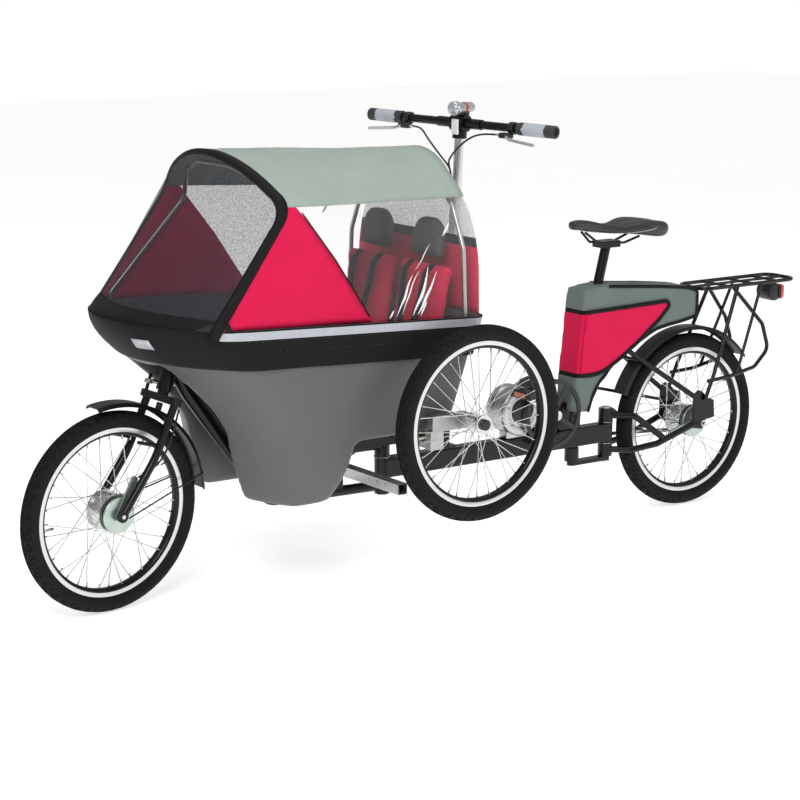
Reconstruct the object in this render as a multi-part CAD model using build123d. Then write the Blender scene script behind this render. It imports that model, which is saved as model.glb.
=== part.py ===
from build123d import *
from math import asin, cos, degrees, pi, radians, sin, tan
import os

# An electric cargo bike with a covered two-seat tub in front, in millimetres.
# X runs backwards, Y to the rider's right and Z up. The model is drawn with
# the rear axle at X = 0 and the ground at Z = 0, and is then moved so that
# its origin is where the rider sits, on top of the saddle.

# Clearances
FIT = 0.3                      # between pieces that are seated but not joined
RUNNING = 0.05                 # radial play of a shaft in its own bore

# Wheels
WHEELBASE = 1869.0
FRONT = -WHEELBASE             # the front axle, which the tub and its frame are placed from
TYRE_RADIUS = 250.0
TYRE_WIDTH = 46.0
BEAD_RADIUS = TYRE_RADIUS - 44.0
RIM_OUTER = TYRE_RADIUS - 39.0
RIM_INNER = TYRE_RADIUS - 60.0
GUARD_RADIUS = TYRE_RADIUS + 21.0
RIM_WIDTH = 27.0
SPOKE_COUNT = 36
SPOKE_RADIUS = 1.2
SPOKE_CROSS = 56.0             # degrees that a spoke leads or trails at its hub
WHEEL_AXLE_RADIUS = 5.0        # of the front and rear wheels
NUT_FROM = 73.3                # the rear axle's nuts, from the middle plane
NUT_THICKNESS = 8.0
AXLE_END = 91.0
SIDE_WHEEL_X = FRONT + 853.0
SIDE_WHEEL_Y = 350.0
SIDE_WHEEL_Z = TYRE_RADIUS + 175.0
SLEEVE_HALF = 26.0             # half length of the side wheels' hub sleeve
AXLE_RADIUS = 6.0              # of the side wheels' stub axles

# Steering
HEAD_TILT = 19.5               # degrees that the fork's axis leans back
HEAD_X = FRONT + 147.0         # where that axis is at height HEAD_Z
HEAD_Z = TYRE_RADIUS + 250.0
FORK_AT_REST = 6.6             # degrees that the front wheel stands to the left
COLUMN_X = FRONT + 1003.0      # foot of the steering column
COLUMN_Z = 277.0
COLUMN_TILT = 3.2
BAR_AT_REST = 10.9             # degrees that the handlebar stands to the left
ROD_EYE_PLAY = 2.6             # of the tie rod's front eye about its ball pin
BAR_Z = 1135.0
BAR_WIDTH = 642.0
BAR_RADIUS = 13.5
ARM_LENGTH = 66.0              # of the arms at both ends of the tie rod
TIE_ROD_RADIUS = 6.0

# Frame
PIVOT_A_X = FRONT + 807.0
PIVOT_B_X = -297.0
PIVOT_RADIUS = 20.0
PIN_RADIUS = 8.0
BEAM_HEIGHT = 52.0
BEAM_WIDTH = 42.0
BEAM_Z = 249.0                 # middle height of the main beam
TUBE_RADIUS = 17.5
STAY_RADIUS = 9.0
SEAT_TILT = 14.5
SEAT_FOOT_X = -432.0           # where the seat mast's axis is at height SEAT_FOOT_Z
SEAT_FOOT_Z = 300.0
SEAT_MAST_TOP = 648.0
SEAT_MAST_RADIUS = 17.0
SEAT_POST_RADIUS = 13.6
SADDLE_TOP = 842.0
SADDLE_X = -285.0

# Drive
CRANK_X = -530.0
CRANK_Z = 335.0
CRANK_LENGTH = 165.0
CRANK_ANGLE = 148.0            # degrees of the left crank, from +X towards +Z
CHAINWHEEL_RADIUS = 82.0
CHAIN_Y = 46.0
SPROCKET_RADIUS = 36.0
MOTOR_X = -628.0
MOTOR_Z = 352.0
MOTOR_RADIUS = 66.0
MOTOR_WIDTH = 84.0

# Tub
RIM_REAR_Z = 680.0             # height of the rim at its rear end
RIM_SLOPE = 2.5                # degrees that the rim rises towards the nose
TUB_REAR_X = FRONT + 919.0
TUB_WALL = 5.0
TUB_FLOOR_Z = 396.0            # underside behind the foot wells
WELL_FLOOR_Z = 250.0           # underside of the foot wells
WELL_INNER_Y = 88.0
SKIRT_THICKNESS = 4.0
SKIRT_HEIGHT = 96.0

# Canopy
CANOPY_REAR_X = FRONT + 917.0
CANOPY_FRONT_X = FRONT + 361.0  # corner of the front bow
CANOPY_THICKNESS = 3.0
BOW_RADIUS = 6.0

parts = {}


def rod(start, end, radius):
    """A round bar between two points."""
    axis = Vector(*end) - Vector(*start)
    plane = Plane(origin=start, z_dir=axis)
    return extrude(plane * Circle(radius), axis.length)


def pipe(points, radius, bend, inner=0.0):
    """A bent tube along straight runs that arcs of one radius join."""
    path = FilletPolyline(*points, radius=bend)
    section = Plane(origin=path @ 0, z_dir=path % 0) * Circle(radius)
    if inner:
        section -= Plane(origin=path @ 0, z_dir=path % 0) * Circle(inner)
    return sweep(section, path=path)


def ring_about_y(outer, inner, width, x=0.0, y=0.0, z=0.0):
    """A flat ring or disc whose axis runs across the bike."""
    shape = Circle(outer) - Circle(inner) if inner else Circle(outer)
    plane = Plane(origin=(x, y - width / 2, z), x_dir=(1, 0, 0), z_dir=(0, 1, 0))
    return extrude(plane * shape, width)


# The two steering axes, as directions and points
HEAD_DIR = Vector(sin(radians(HEAD_TILT)), 0, cos(radians(HEAD_TILT)))
HEAD_AXIS = Axis((HEAD_X, 0, HEAD_Z), HEAD_DIR)
COLUMN_DIR = Vector(sin(radians(COLUMN_TILT)), 0, cos(radians(COLUMN_TILT)))
COLUMN_AXIS = Axis((COLUMN_X, 0, COLUMN_Z), COLUMN_DIR)
SEAT_DIR = Vector(sin(radians(SEAT_TILT)), 0, cos(radians(SEAT_TILT)))


def on_head(height):
    """The point of the fork's axis at a height."""
    return Vector(HEAD_X + (height - HEAD_Z) * tan(radians(HEAD_TILT)), 0, height)


def on_column(height):
    return Vector(COLUMN_X + (height - COLUMN_Z) * tan(radians(COLUMN_TILT)), 0, height)


def on_seat_mast(height):
    return Vector(SEAT_FOOT_X + (height - SEAT_FOOT_Z) * tan(radians(SEAT_TILT)), 0, height)


def steered(solid):
    """A piece of the fork turned to where the front wheel stands."""
    return solid.rotate(HEAD_AXIS, FORK_AT_REST)


def turned(solid, angle=BAR_AT_REST):
    """A piece of the column turned to where the handlebar stands."""
    return solid.rotate(COLUMN_AXIS, angle)


# Wheels: a tyre with a rounded tread, a box-section rim, and a hub with its
# spokes. Each is drawn on the Y axis at the origin and moved to its place.
def tyre():
    half, bead_half = TYRE_WIDTH / 2, RIM_WIDTH / 2 - 3
    shoulder = TYRE_RADIUS - 8
    middle = (RIM_OUTER + TYRE_RADIUS) / 2 - 1
    outline = [
        Line((-bead_half, BEAD_RADIUS), (-bead_half, RIM_OUTER + 1)),
        ThreePointArc((-bead_half, RIM_OUTER + 1), (-half, middle), (-half + 5, shoulder)),
        ThreePointArc((-half + 5, shoulder), (0, TYRE_RADIUS), (half - 5, shoulder)),
        ThreePointArc((half - 5, shoulder), (half, middle), (bead_half, RIM_OUTER + 1)),
        Line((bead_half, RIM_OUTER + 1), (bead_half, BEAD_RADIUS)),
        Line((bead_half, BEAD_RADIUS), (-bead_half, BEAD_RADIUS)),
    ]
    return revolve(Plane.YZ * make_face(outline), Axis.Y)


def rim():
    half, flange = RIM_WIDTH / 2, 2.6
    outline = Polyline(
        (-half, RIM_OUTER), (-half + 1, RIM_INNER + 5), (-half + 6, RIM_INNER),
        (half - 6, RIM_INNER), (half - 1, RIM_INNER + 5), (half, RIM_OUTER),
        (half - flange, RIM_OUTER), (half - flange, BEAD_RADIUS - FIT),
        (-half + flange, BEAD_RADIUS - FIT), (-half + flange, RIM_OUTER), close=True)
    return revolve(Plane.YZ * make_face(outline), Axis.Y)


def laced_hub(flange_radius, flange_y, barrel_radius, barrel_half, axle_radius, axle_half,
              bore=0.0, sprocket=0.0):
    """Axle, barrel and two flanges, with the spokes crossing out to the rim."""
    hub = ring_about_y(axle_radius, 0, 2 * axle_half)
    hub += ring_about_y(barrel_radius, 0, 2 * barrel_half)
    for side in (-1, 1):
        hub += ring_about_y(flange_radius, 0, 5, y=side * flange_y)
    if sprocket:
        hub += ring_about_y(sprocket, 0, 3, y=CHAIN_Y)
        for side in (-1, 1):
            nut = Plane(origin=(0, side * NUT_FROM, 0), x_dir=(1, 0, 0), z_dir=(0, side, 0))
            hub += extrude(nut * RegularPolygon(9, 6), NUT_THICKNESS)
    spokes = []
    for number in range(SPOKE_COUNT):
        side = 1 if number % 2 else -1
        lead = SPOKE_CROSS if number // 2 % 2 else -SPOKE_CROSS
        at_rim = 2 * pi * number / SPOKE_COUNT
        at_hub = at_rim + radians(lead)
        layer = side * (flange_y + (1.4 if lead > 0 else -1.4))
        inner, outer = flange_radius - 3, RIM_INNER - FIT
        start = Vector(inner * cos(at_hub), layer, inner * sin(at_hub))
        end = Vector(outer * cos(at_rim), side * 4 + (0.5 if lead > 0 else -0.5), outer * sin(at_rim))
        plane = Plane(origin=start, z_dir=end - start)
        spokes.append(extrude(plane * RegularPolygon(SPOKE_RADIUS, 6), (end - start).length))
    hub = hub + spokes
    return hub - ring_about_y(bore, 0, 4 * axle_half) if bore else hub


# Sizes of each hub: flange radius and place, barrel, axle
hubs = {
    "front": dict(flange_radius=50, flange_y=26, barrel_radius=44, barrel_half=29,
                  axle_radius=WHEEL_AXLE_RADIUS, axle_half=60),
    "rear": dict(flange_radius=46, flange_y=27, barrel_radius=40, barrel_half=30,
                 axle_radius=WHEEL_AXLE_RADIUS, axle_half=AXLE_END, sprocket=SPROCKET_RADIUS),
    "side": dict(flange_radius=24, flange_y=20, barrel_radius=14, barrel_half=22,
                 axle_radius=11, axle_half=SLEEVE_HALF, bore=AXLE_RADIUS + RUNNING),
}

# Where each wheel stands, and which hub it has
wheels = {
    "front": (Pos(FRONT, 0, TYRE_RADIUS), "front"),
    "rear": (Pos(0, 0, TYRE_RADIUS), "rear"),
    "left": (Pos(SIDE_WHEEL_X, -SIDE_WHEEL_Y, SIDE_WHEEL_Z), "side"),
    "right": (Pos(SIDE_WHEEL_X, SIDE_WHEEL_Y, SIDE_WHEEL_Z), "side"),
}
one_tyre, one_rim = tyre(), rim()
hub_solids = {name: laced_hub(**sizes) for name, sizes in hubs.items()}
for name, (place, kind) in wheels.items():
    pieces = {"tyre": one_tyre, "rim": one_rim, "hub": hub_solids[kind]}
    for piece, solid in pieces.items():
        placed = place * solid
        parts[f"{name}_{piece}"] = steered(placed) if name == "front" else placed


# Front frame: head tube, curved neck, the two tubes that run through the
# tub's tunnel, and the fixed knuckles of the front upright pivot.
STEERER_RADIUS = 14.0
HEAD_TUBE_RADIUS = 20.0
HEAD_LOW, HEAD_HIGH = HEAD_Z + 28.0, HEAD_Z + 122.0
TUNNEL_TUBE_Z = 316.0
LOWER_TUBE_Z = 203.0
KNUCKLE_A = (181.0, 219.0, 279.0, 343.0)   # foot, beam gap from and to, head
CROSSBAR_X = FRONT + 660.0
CROSSBAR_Z = 272.0
CROSSBAR_SIZE = 28.0
CROSSBAR_WALL = 2.5
CROSSBAR_HALF = 296.0
NOSE_SEAT_Z = 640.0 - FIT      # top of the bracket under the tub's nose
KNUCKLE_B = (181.0, 219.0, 279.0, 316.0)
LINK_THICKNESS = 12.0
LINK_LOW = KNUCKLE_B[0] - FIT - LINK_THICKNESS


def crossbar_posts():
    """Upright plates that hold the crossbar between the two frame tubes."""
    gap = CROSSBAR_SIZE / 2 + FIT
    low, high = LOWER_TUBE_Z, CROSSBAR_Z - gap
    lower = Pos(CROSSBAR_X, 0, (low + high) / 2) * Box(34, 22, high - low)
    low, high = CROSSBAR_Z + gap, TUNNEL_TUBE_Z
    return lower + Pos(CROSSBAR_X, 0, (low + high) / 2) * Box(34, 22, high - low)


def knuckle(x, low, high):
    """A length of upright pivot tube that is bored for its pin."""
    tube = extrude(Plane((x, 0, low)) * Circle(PIVOT_RADIUS), high - low)
    return tube - extrude(Plane((x, 0, low)) * Circle(PIN_RADIUS + RUNNING), high - low)


def pin_bore(x, low, high):
    return extrude(Plane((x, 0, low)) * Circle(PIN_RADIUS + RUNNING), high - low)


def front_frame():
    head = rod(on_head(HEAD_LOW), on_head(HEAD_HIGH), HEAD_TUBE_RADIUS)
    neck = pipe([on_head(HEAD_Z + 90), (FRONT + 225, 0, HEAD_Z + 12), (FRONT + 369, 0, TUNNEL_TUBE_Z + 4),
                 (PIVOT_A_X, 0, TUNNEL_TUBE_Z)], TUBE_RADIUS, 60)
    lower = pipe([(FRONT + 391, 0, TUNNEL_TUBE_Z + 6), (FRONT + 449, 0, LOWER_TUBE_Z + 6),
                  (PIVOT_A_X, 0, LOWER_TUBE_Z - 1)], TUBE_RADIUS - 4, 50)
    foot, gap_low, gap_high, top = KNUCKLE_A
    frame = head + neck + lower + crossbar_posts()
    seat_low = HEAD_HIGH - 8
    frame += Pos(on_head(HEAD_HIGH).X + 4, 0, (seat_low + NOSE_SEAT_Z) / 2) * Box(
        54, 60, NOSE_SEAT_Z - seat_low)
    frame += extrude(Plane((PIVOT_A_X, 0, foot)) * Circle(PIVOT_RADIUS), top - foot)
    frame -= extrude(Plane((PIVOT_A_X, 0, gap_low)) * Circle(PIVOT_RADIUS + 1), gap_high - gap_low)
    frame -= Pos(PIVOT_A_X + 60, 0, (gap_low + gap_high) / 2) * Box(120, 60, gap_high - gap_low)
    frame -= pin_bore(PIVOT_A_X, foot - 1, top + 1)
    bore = rod(on_head(HEAD_LOW - 5), on_head(HEAD_HIGH + 5), STEERER_RADIUS + RUNNING)
    return frame - bore


parts["front_frame"] = front_frame()


# Main beam: one rectangular tube between the two upright pivots.
def main_beam():
    length = PIVOT_B_X - PIVOT_A_X
    middle = (PIVOT_A_X + PIVOT_B_X) / 2
    shape = RectangleRounded(BEAM_WIDTH, BEAM_HEIGHT, 6)
    beam = extrude(Plane(origin=(PIVOT_A_X, 0, BEAM_Z), x_dir=(0, 1, 0), z_dir=(1, 0, 0)) * shape, length)
    wall = RectangleRounded(BEAM_WIDTH - 6, BEAM_HEIGHT - 6, 3)
    hollow = extrude(Plane(origin=(PIVOT_A_X + 40, 0, BEAM_Z), x_dir=(0, 1, 0), z_dir=(1, 0, 0)) * wall,
                     length - 80)
    beam -= hollow
    for x, (foot, gap_low, gap_high, top) in ((PIVOT_A_X, KNUCKLE_A), (PIVOT_B_X, KNUCKLE_B)):
        low, high = gap_low + FIT, gap_high - FIT
        end = extrude(Plane((x, 0, low)) * Circle(PIVOT_RADIUS), high - low)
        beyond = PIVOT_RADIUS + 20
        cut = Pos(x + (beyond / 2 if x > middle else -beyond / 2), 0, BEAM_Z) * Box(beyond, 60, 80)
        beam = beam - cut + end
        beam -= pin_bore(x, low - 1, high + 1)
    mast_socket = extrude(Plane((MAST_FOOT_X, 0, BEAM_Z - 60)) * Circle(MAST_PIN_RADIUS + FIT), 120)
    return beam - mast_socket


# Rear frame: seat mast with its foot through the beam, crank shell, the
# knuckles of the rear pivot, two pairs of stays and the dropout plates.
MAST_FOOT_X = -418.0
MAST_PIN_RADIUS = 15.0
SHELL_RADIUS = 21.0
SHELL_HALF = 34.0
SPINDLE_RADIUS = 8.0
DROPOUT_Y = 70.0
DROPOUT_THICKNESS = 6.0
DROPOUT_FRONT = -30.0
SEAT_STAY_RADIUS = 7.5
BRIDGE_ANGLE = 135.5           # degrees of the stays' bridge round the wheel


def seat_mast():
    mast = rod(on_seat_mast(SEAT_FOOT_Z - 4), on_seat_mast(SEAT_MAST_TOP), SEAT_MAST_RADIUS)
    mast -= rod(on_seat_mast(420), on_seat_mast(SEAT_MAST_TOP + 5), SEAT_POST_RADIUS + RUNNING)
    top = BEAM_Z + BEAM_HEIGHT / 2 + FIT
    foot = extrude(Plane((MAST_FOOT_X, 0, top)) * Circle(PIVOT_RADIUS), 34)
    pin = extrude(Plane((MAST_FOOT_X, 0, 205)) * Circle(MAST_PIN_RADIUS), 75)
    base = extrude(Plane((MAST_FOOT_X, 0, KNUCKLE_B[0])) * Circle(PIVOT_RADIUS), 38)
    shell = ring_about_y(SHELL_RADIUS, 0, 2 * SHELL_HALF, CRANK_X, 0, CRANK_Z)
    bracket_outline = Polyline(
        (CRANK_X - 4, CRANK_Z - 20), (CRANK_X + 4, CRANK_Z + 20), (-440, CRANK_Z + 16),
        (-400, 316), (-402, top), (-470, top), close=True)
    bracket = extrude(Plane.XZ * make_face(bracket_outline), 14, both=True)
    mast = mast + foot + pin + base + bracket + shell
    return mast - ring_about_y(SPINDLE_RADIUS + RUNNING, 0, 100, CRANK_X, 0, CRANK_Z)


def dropout(side):
    front = DROPOUT_FRONT
    outline = Polyline((front - 8, -10), (front, 18), (front, 84), (-12, 96), (2, 90), (20, 72),
                       (46, 62), (50, 12), (14, 8), (4, -18), close=True)
    plate = extrude(Plane.XZ * make_face(outline), DROPOUT_THICKNESS / 2, both=True)
    plate = Pos(0, 0, TYRE_RADIUS) * fillet(plate.edges().filter_by(Axis.Y), 3)
    slot = ring_about_y(WHEEL_AXLE_RADIUS + RUNNING, 0, 20, 0, 0, TYRE_RADIUS)
    return Pos(0, side * DROPOUT_Y, 0) * (plate - slot)


def rear_frame():
    frame = knuckle(PIVOT_B_X, KNUCKLE_B[0], KNUCKLE_B[1]) + knuckle(PIVOT_B_X, KNUCKLE_B[2], KNUCKLE_B[3])
    for side in (-1, 1):
        low = pipe([(-290, side * 12, 199), (-242, side * 52, 199), (-160, side * 64, TYRE_RADIUS - 42),
                    (-26, side * DROPOUT_Y, TYRE_RADIUS)], STAY_RADIUS, 30)
        high = pipe([(-290, side * 12, 296), (-235, side * 50, 296), (-140, side * 66, TYRE_RADIUS - 26)],
                    STAY_RADIUS, 40)
        frame = frame + low + high + dropout(side)
    bores = pin_bore(PIVOT_B_X, KNUCKLE_B[0] - 2, KNUCKLE_B[3] + 2)
    gap = Pos(PIVOT_B_X, 0, (KNUCKLE_B[1] + KNUCKLE_B[2]) / 2) * Box(60, 70, KNUCKLE_B[2] - KNUCKLE_B[1])
    return frame - bores - gap


def seat_stays(clear=0.0):
    """Two stays from the mast to the dropouts, with a bridge over the wheel."""
    start_y = SEAT_MAST_RADIUS + FIT + SEAT_STAY_RADIUS
    beyond = Pos(DROPOUT_FRONT - FIT + 100, 0, TYRE_RADIUS + 100) * Box(200, 300, 200)
    stays = []
    for side in (-1, 1):
        stay = pipe([(-360, side * start_y, TYRE_RADIUS + 306), (-276, side * (start_y + 1), TYRE_RADIUS + 248),
                     (-10, side * (DROPOUT_Y + 1), TYRE_RADIUS + 68)], SEAT_STAY_RADIUS + clear, 120)
        stays.append(stay - beyond)
    reach = GUARD_RADIUS + FIT + 5
    x = reach * cos(radians(BRIDGE_ANGLE))
    z = TYRE_RADIUS + reach * sin(radians(BRIDGE_ANGLE))
    return stays[0] + stays[1] + rod((x, -36, z), (x, 36, z), 5)


def pivot_pin(x, low, high):
    pin = extrude(Plane((x, 0, low)) * Circle(PIN_RADIUS), high - low)
    for height in (low - 4, high):
        pin += extrude(Plane((x, 0, height)) * Circle(PIN_RADIUS + 5), 4)
    return pin


parts["main_beam"] = main_beam()
parts["seat_mast"] = seat_mast()
parts["rear_frame"] = rear_frame()
parts["pivot_pins"] = Compound([pivot_pin(PIVOT_A_X, KNUCKLE_A[0] - FIT, KNUCKLE_A[3] + FIT),
                                pivot_pin(PIVOT_B_X, LINK_LOW - FIT, KNUCKLE_B[3] + FIT)])


# Link plate that ties the mast's foot to the rear pivot's pin below the beam
def fold_link():
    outline = SlotCenterToCenter(PIVOT_B_X - MAST_FOOT_X, 26)
    plate = extrude(Plane(((PIVOT_B_X + MAST_FOOT_X) / 2, 0, LINK_LOW)) * outline, LINK_THICKNESS)
    return plate - pin_bore(PIVOT_B_X, LINK_LOW - 5, LINK_LOW + LINK_THICKNESS + 5)


def crossbar():
    """Square tube across the frame with an open socket at each end."""
    size, inner = CROSSBAR_SIZE, CROSSBAR_SIZE - 2 * CROSSBAR_WALL
    bar = Pos(CROSSBAR_X, 0, CROSSBAR_Z) * Box(size, 2 * CROSSBAR_HALF, size)
    bar = fillet(bar.edges().filter_by(Axis.Y), 2)
    for side in (-1, 1):
        bar -= Pos(CROSSBAR_X, side * CROSSBAR_HALF, CROSSBAR_Z) * Box(inner, 320, inner)
        for y in (170, 205, 240):
            face = CROSSBAR_X - size / 2
            bar += rod((face, side * y, CROSSBAR_Z), (face - 3, side * y, CROSSBAR_Z), 5)
    return bar


# Rails that the tub's floor stands on, on a cross plate over the pivot's head
RAIL_Y = 122.0
RAIL_TOP = TUB_FLOOR_Z - FIT
CARRIER_X = SIDE_WHEEL_X - 94.0
CARRIER_TUBE_Z = 368.0
BLOCK_Y = 292.0
BLOCK_HALF = 12.0


def tub_rails():
    low = KNUCKLE_A[3] + FIT
    rails = Pos(PIVOT_A_X, 0, low + 4) * Box(44, 2 * RAIL_Y + 22, 8)
    for side in (-1, 1):
        height = RAIL_TOP - low
        rails += Pos(PIVOT_A_X - 80, side * RAIL_Y, low + height / 2) * Box(290, 22, height)
    rails -= Pos(CARRIER_X, 0, CARRIER_TUBE_Z) * Box(26 + 2 * FIT, 2 * BLOCK_Y, 16 + 2 * FIT)
    return rails - extrude(Plane((PIVOT_A_X, 0, low - 5)) * Circle(PIN_RADIUS + 6), 30)


# Carriers of the side wheels: a cross tube under the tub's floor and, at each
# end, an aluminium block with the axle.
def wheel_carrier():
    carrier = None
    for side in (-1, 1):
        block = Pos(SIDE_WHEEL_X - 50, side * BLOCK_Y, SIDE_WHEEL_Z) * Box(116, 2 * BLOCK_HALF, 40)
        block = fillet(block.edges().filter_by(Axis.Y), 5)
        foot = Pos(CARRIER_X, side * BLOCK_Y, 384) * Box(40, 2 * BLOCK_HALF, 48)
        inner, outer = BLOCK_Y, SIDE_WHEEL_Y + SLEEVE_HALF + FIT
        axle = ring_about_y(AXLE_RADIUS, 0, outer - inner, SIDE_WHEEL_X, side * (inner + outer) / 2,
                            SIDE_WHEEL_Z)
        collar_to = SIDE_WHEEL_Y - SLEEVE_HALF - FIT
        axle += ring_about_y(10, 0, collar_to - inner, SIDE_WHEEL_X, side * (inner + collar_to) / 2,
                             SIDE_WHEEL_Z)
        cap = ring_about_y(13, 0, 5, SIDE_WHEEL_X, side * (outer + 2.5), SIDE_WHEEL_Z)
        piece = block + foot + axle + cap
        carrier = piece if carrier is None else carrier + piece
    cross = Pos(CARRIER_X, 0, CARRIER_TUBE_Z) * Box(26, 2 * BLOCK_Y, 16)
    return carrier + cross


parts["fold_link"] = fold_link()
parts["wheel_carrier"] = wheel_carrier()
parts["axle_crossbar"] = crossbar()
parts["tub_rails"] = tub_rails()
parts["seat_stays"] = seat_stays()


# Drive: motor block ahead of the crank, crank set, pedals and chain loop
CRANK_ARM_Y = 66.0
PEDAL_Y = 124.0
PEDAL_LENGTH = 92.0
PEDAL_WIDTH = 78.0
PEDAL_HEIGHT = 22.0
PEDAL_PIN = 6.0


def crank_end(side):
    """The crank's outer end on one side, the right one half a turn on."""
    angle = radians(CRANK_ANGLE + (180 if side > 0 else 0))
    return Vector(CRANK_X + CRANK_LENGTH * cos(angle), side * CRANK_ARM_Y,
                  CRANK_Z + CRANK_LENGTH * sin(angle))


def motor():
    body = ring_about_y(MOTOR_RADIUS, 0, MOTOR_WIDTH, MOTOR_X, 0, MOTOR_Z)
    body = fillet(body.edges(), 8)
    body -= ring_about_y(SHELL_RADIUS + 1.0, 0, 300, CRANK_X, 0, CRANK_Z)
    beam_top = BEAM_Z + BEAM_HEIGHT / 2
    foot = Pos(MOTOR_X, 0, (beam_top + MOTOR_Z - 50) / 2) * Box(70, 36, MOTOR_Z - 50 - beam_top)
    return body + Pos(0, 0, FIT / 2) * foot


def crankset():
    crank = ring_about_y(SPINDLE_RADIUS, 0, 2 * CRANK_ARM_Y + 10, CRANK_X, 0, CRANK_Z)
    for side in (-1, 1):
        end = crank_end(side)
        middle = Vector(CRANK_X, end.Y, CRANK_Z)
        length = (end - middle).length
        outline = SlotCenterToCenter(length, 24)
        plane = Plane(origin=(middle + end) / 2, x_dir=end - middle, z_dir=(0, 1, 0))
        arm = extrude(plane * outline, 6, both=True)
        arm -= ring_about_y(PEDAL_PIN + RUNNING, 0, 40, end.X, end.Y, end.Z)
        crank += arm
        guard = ring_about_y(CHAINWHEEL_RADIUS + 14, CHAINWHEEL_RADIUS + 2, 4, CRANK_X, side * 54, CRANK_Z)
        if side < 0:
            crank += guard
            for turn in range(4):
                angle = radians(CRANK_ANGLE + 90 * turn)
                tip = Vector(CRANK_X + 88 * cos(angle), -54, CRANK_Z + 88 * sin(angle))
                crank += rod((CRANK_X, -54, CRANK_Z), tip, 5)
    wheel = ring_about_y(CHAINWHEEL_RADIUS, 0, 4, CRANK_X, CHAIN_Y, CRANK_Z)
    return crank + wheel


def pedal(side):
    end = crank_end(side)
    body = Pos(end.X, side * (PEDAL_Y + 4), end.Z) * Box(PEDAL_WIDTH, PEDAL_LENGTH - 8, PEDAL_HEIGHT)
    body = fillet(body.edges().filter_by(Axis.Y), 6)
    pin_from = CRANK_ARM_Y - 6
    pin = ring_about_y(PEDAL_PIN, 0, 40, end.X, side * (pin_from + 20), end.Z)
    return body + pin


def belt(x1, z1, r1, x2, z2, r2):
    """The outline of a belt that runs round two wheels."""
    along = Vector(x2 - x1, z2 - z1)
    distance = along.length
    slope = degrees(asin((r1 - r2) / distance))
    tilt = degrees(asin(along.Y / distance))
    up, down = radians(90 + tilt - slope), radians(-90 + tilt + slope)
    a = (x1 + r1 * cos(up), z1 + r1 * sin(up))
    b = (x2 + r2 * cos(up), z2 + r2 * sin(up))
    c = (x2 + r2 * cos(down), z2 + r2 * sin(down))
    d = (x1 + r1 * cos(down), z1 + r1 * sin(down))
    ahead, behind = radians(tilt), radians(tilt + 180)
    return make_face([
        Line(a, b),
        ThreePointArc(b, (x2 + r2 * cos(ahead), z2 + r2 * sin(ahead)), c),
        Line(c, d),
        ThreePointArc(d, (x1 + r1 * cos(behind), z1 + r1 * sin(behind)), a)])


def chain():
    clear = FIT
    outer = belt(CRANK_X, CRANK_Z, CHAINWHEEL_RADIUS + 9, 0, TYRE_RADIUS, SPROCKET_RADIUS + 9)
    inner = belt(CRANK_X, CRANK_Z, CHAINWHEEL_RADIUS + clear, 0, TYRE_RADIUS, SPROCKET_RADIUS + clear)
    plane = Plane(origin=(0, CHAIN_Y, 0), x_dir=(1, 0, 0), z_dir=(0, -1, 0))
    return extrude(plane * (outer - inner), 3.5, both=True)


parts["drive_motor"] = motor()
parts["crankset"] = crankset()
parts["pedal_left"] = pedal(-1)
parts["pedal_right"] = pedal(1)
parts["chain"] = chain()


# Fork: steerer, crown, two blades and their ends, with the arm for the tie rod
BLADE_Y = 56.0
BLADE_RADIUS = 10.0
CROWN_LOW, CROWN_HIGH = HEAD_Z, HEAD_Z + 22.0
ARM_THICKNESS = 8.0
ARM_PIN = 4.5
EYE_RADIUS = 11.0
ROD_EYE_HEIGHT = 30.0          # of the tie rod's front eye above the crown's middle


def fork():
    crown_mid = on_head((CROWN_LOW + CROWN_HIGH) / 2)
    plane = Plane(origin=crown_mid, x_dir=(0, 1, 0), z_dir=HEAD_DIR)
    crown = extrude(plane * RectangleRounded(2 * BLADE_Y + 22, 36, 12), 9, both=True)
    steerer = rod(on_head(CROWN_HIGH - 6), on_head(HEAD_HIGH), STEERER_RADIUS)
    body = crown + steerer
    for side in (-1, 1):
        top = on_head(CROWN_LOW + 4)
        blade = pipe([(top.X, side * BLADE_Y, top.Z), (FRONT + 93, side * BLADE_Y, TYRE_RADIUS + 130),
                      (FRONT + 4, side * BLADE_Y, TYRE_RADIUS + 8)], BLADE_RADIUS, 260)
        tip = ring_about_y(15, 0, 7, FRONT, side * (BLADE_Y - 2), TYRE_RADIUS)
        stud_foot = Vector(FRONT + 104, side * (BLADE_Y - 4), TYRE_RADIUS + 158)
        stud = rod(stud_foot, stud_foot + Vector(-59, 0, 18), 4.5)
        body = body + blade + tip + stud
    for side in (-1, 1):
        body -= ring_about_y(WHEEL_AXLE_RADIUS + RUNNING, 0, 30, FRONT, side * BLADE_Y, TYRE_RADIUS)
    arm_plane = Plane(origin=crown_mid, x_dir=(0, 1, 0), z_dir=HEAD_DIR)
    arm = extrude(arm_plane * (Pos(ARM_LENGTH / 2, 0) * SlotCenterToCenter(ARM_LENGTH, 24)), 9, both=True)
    pin_foot = crown_mid + Vector(0, ARM_LENGTH, 0)
    pin = rod(pin_foot, pin_foot + HEAD_DIR * (ROD_EYE_HEIGHT + 20), ARM_PIN)
    return body + arm + pin


# Front mudguard: a curved strip over the wheel, carried by a stay
GUARD_WIDTH = 58.0
GUARD_THICKNESS = 2.5


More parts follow.
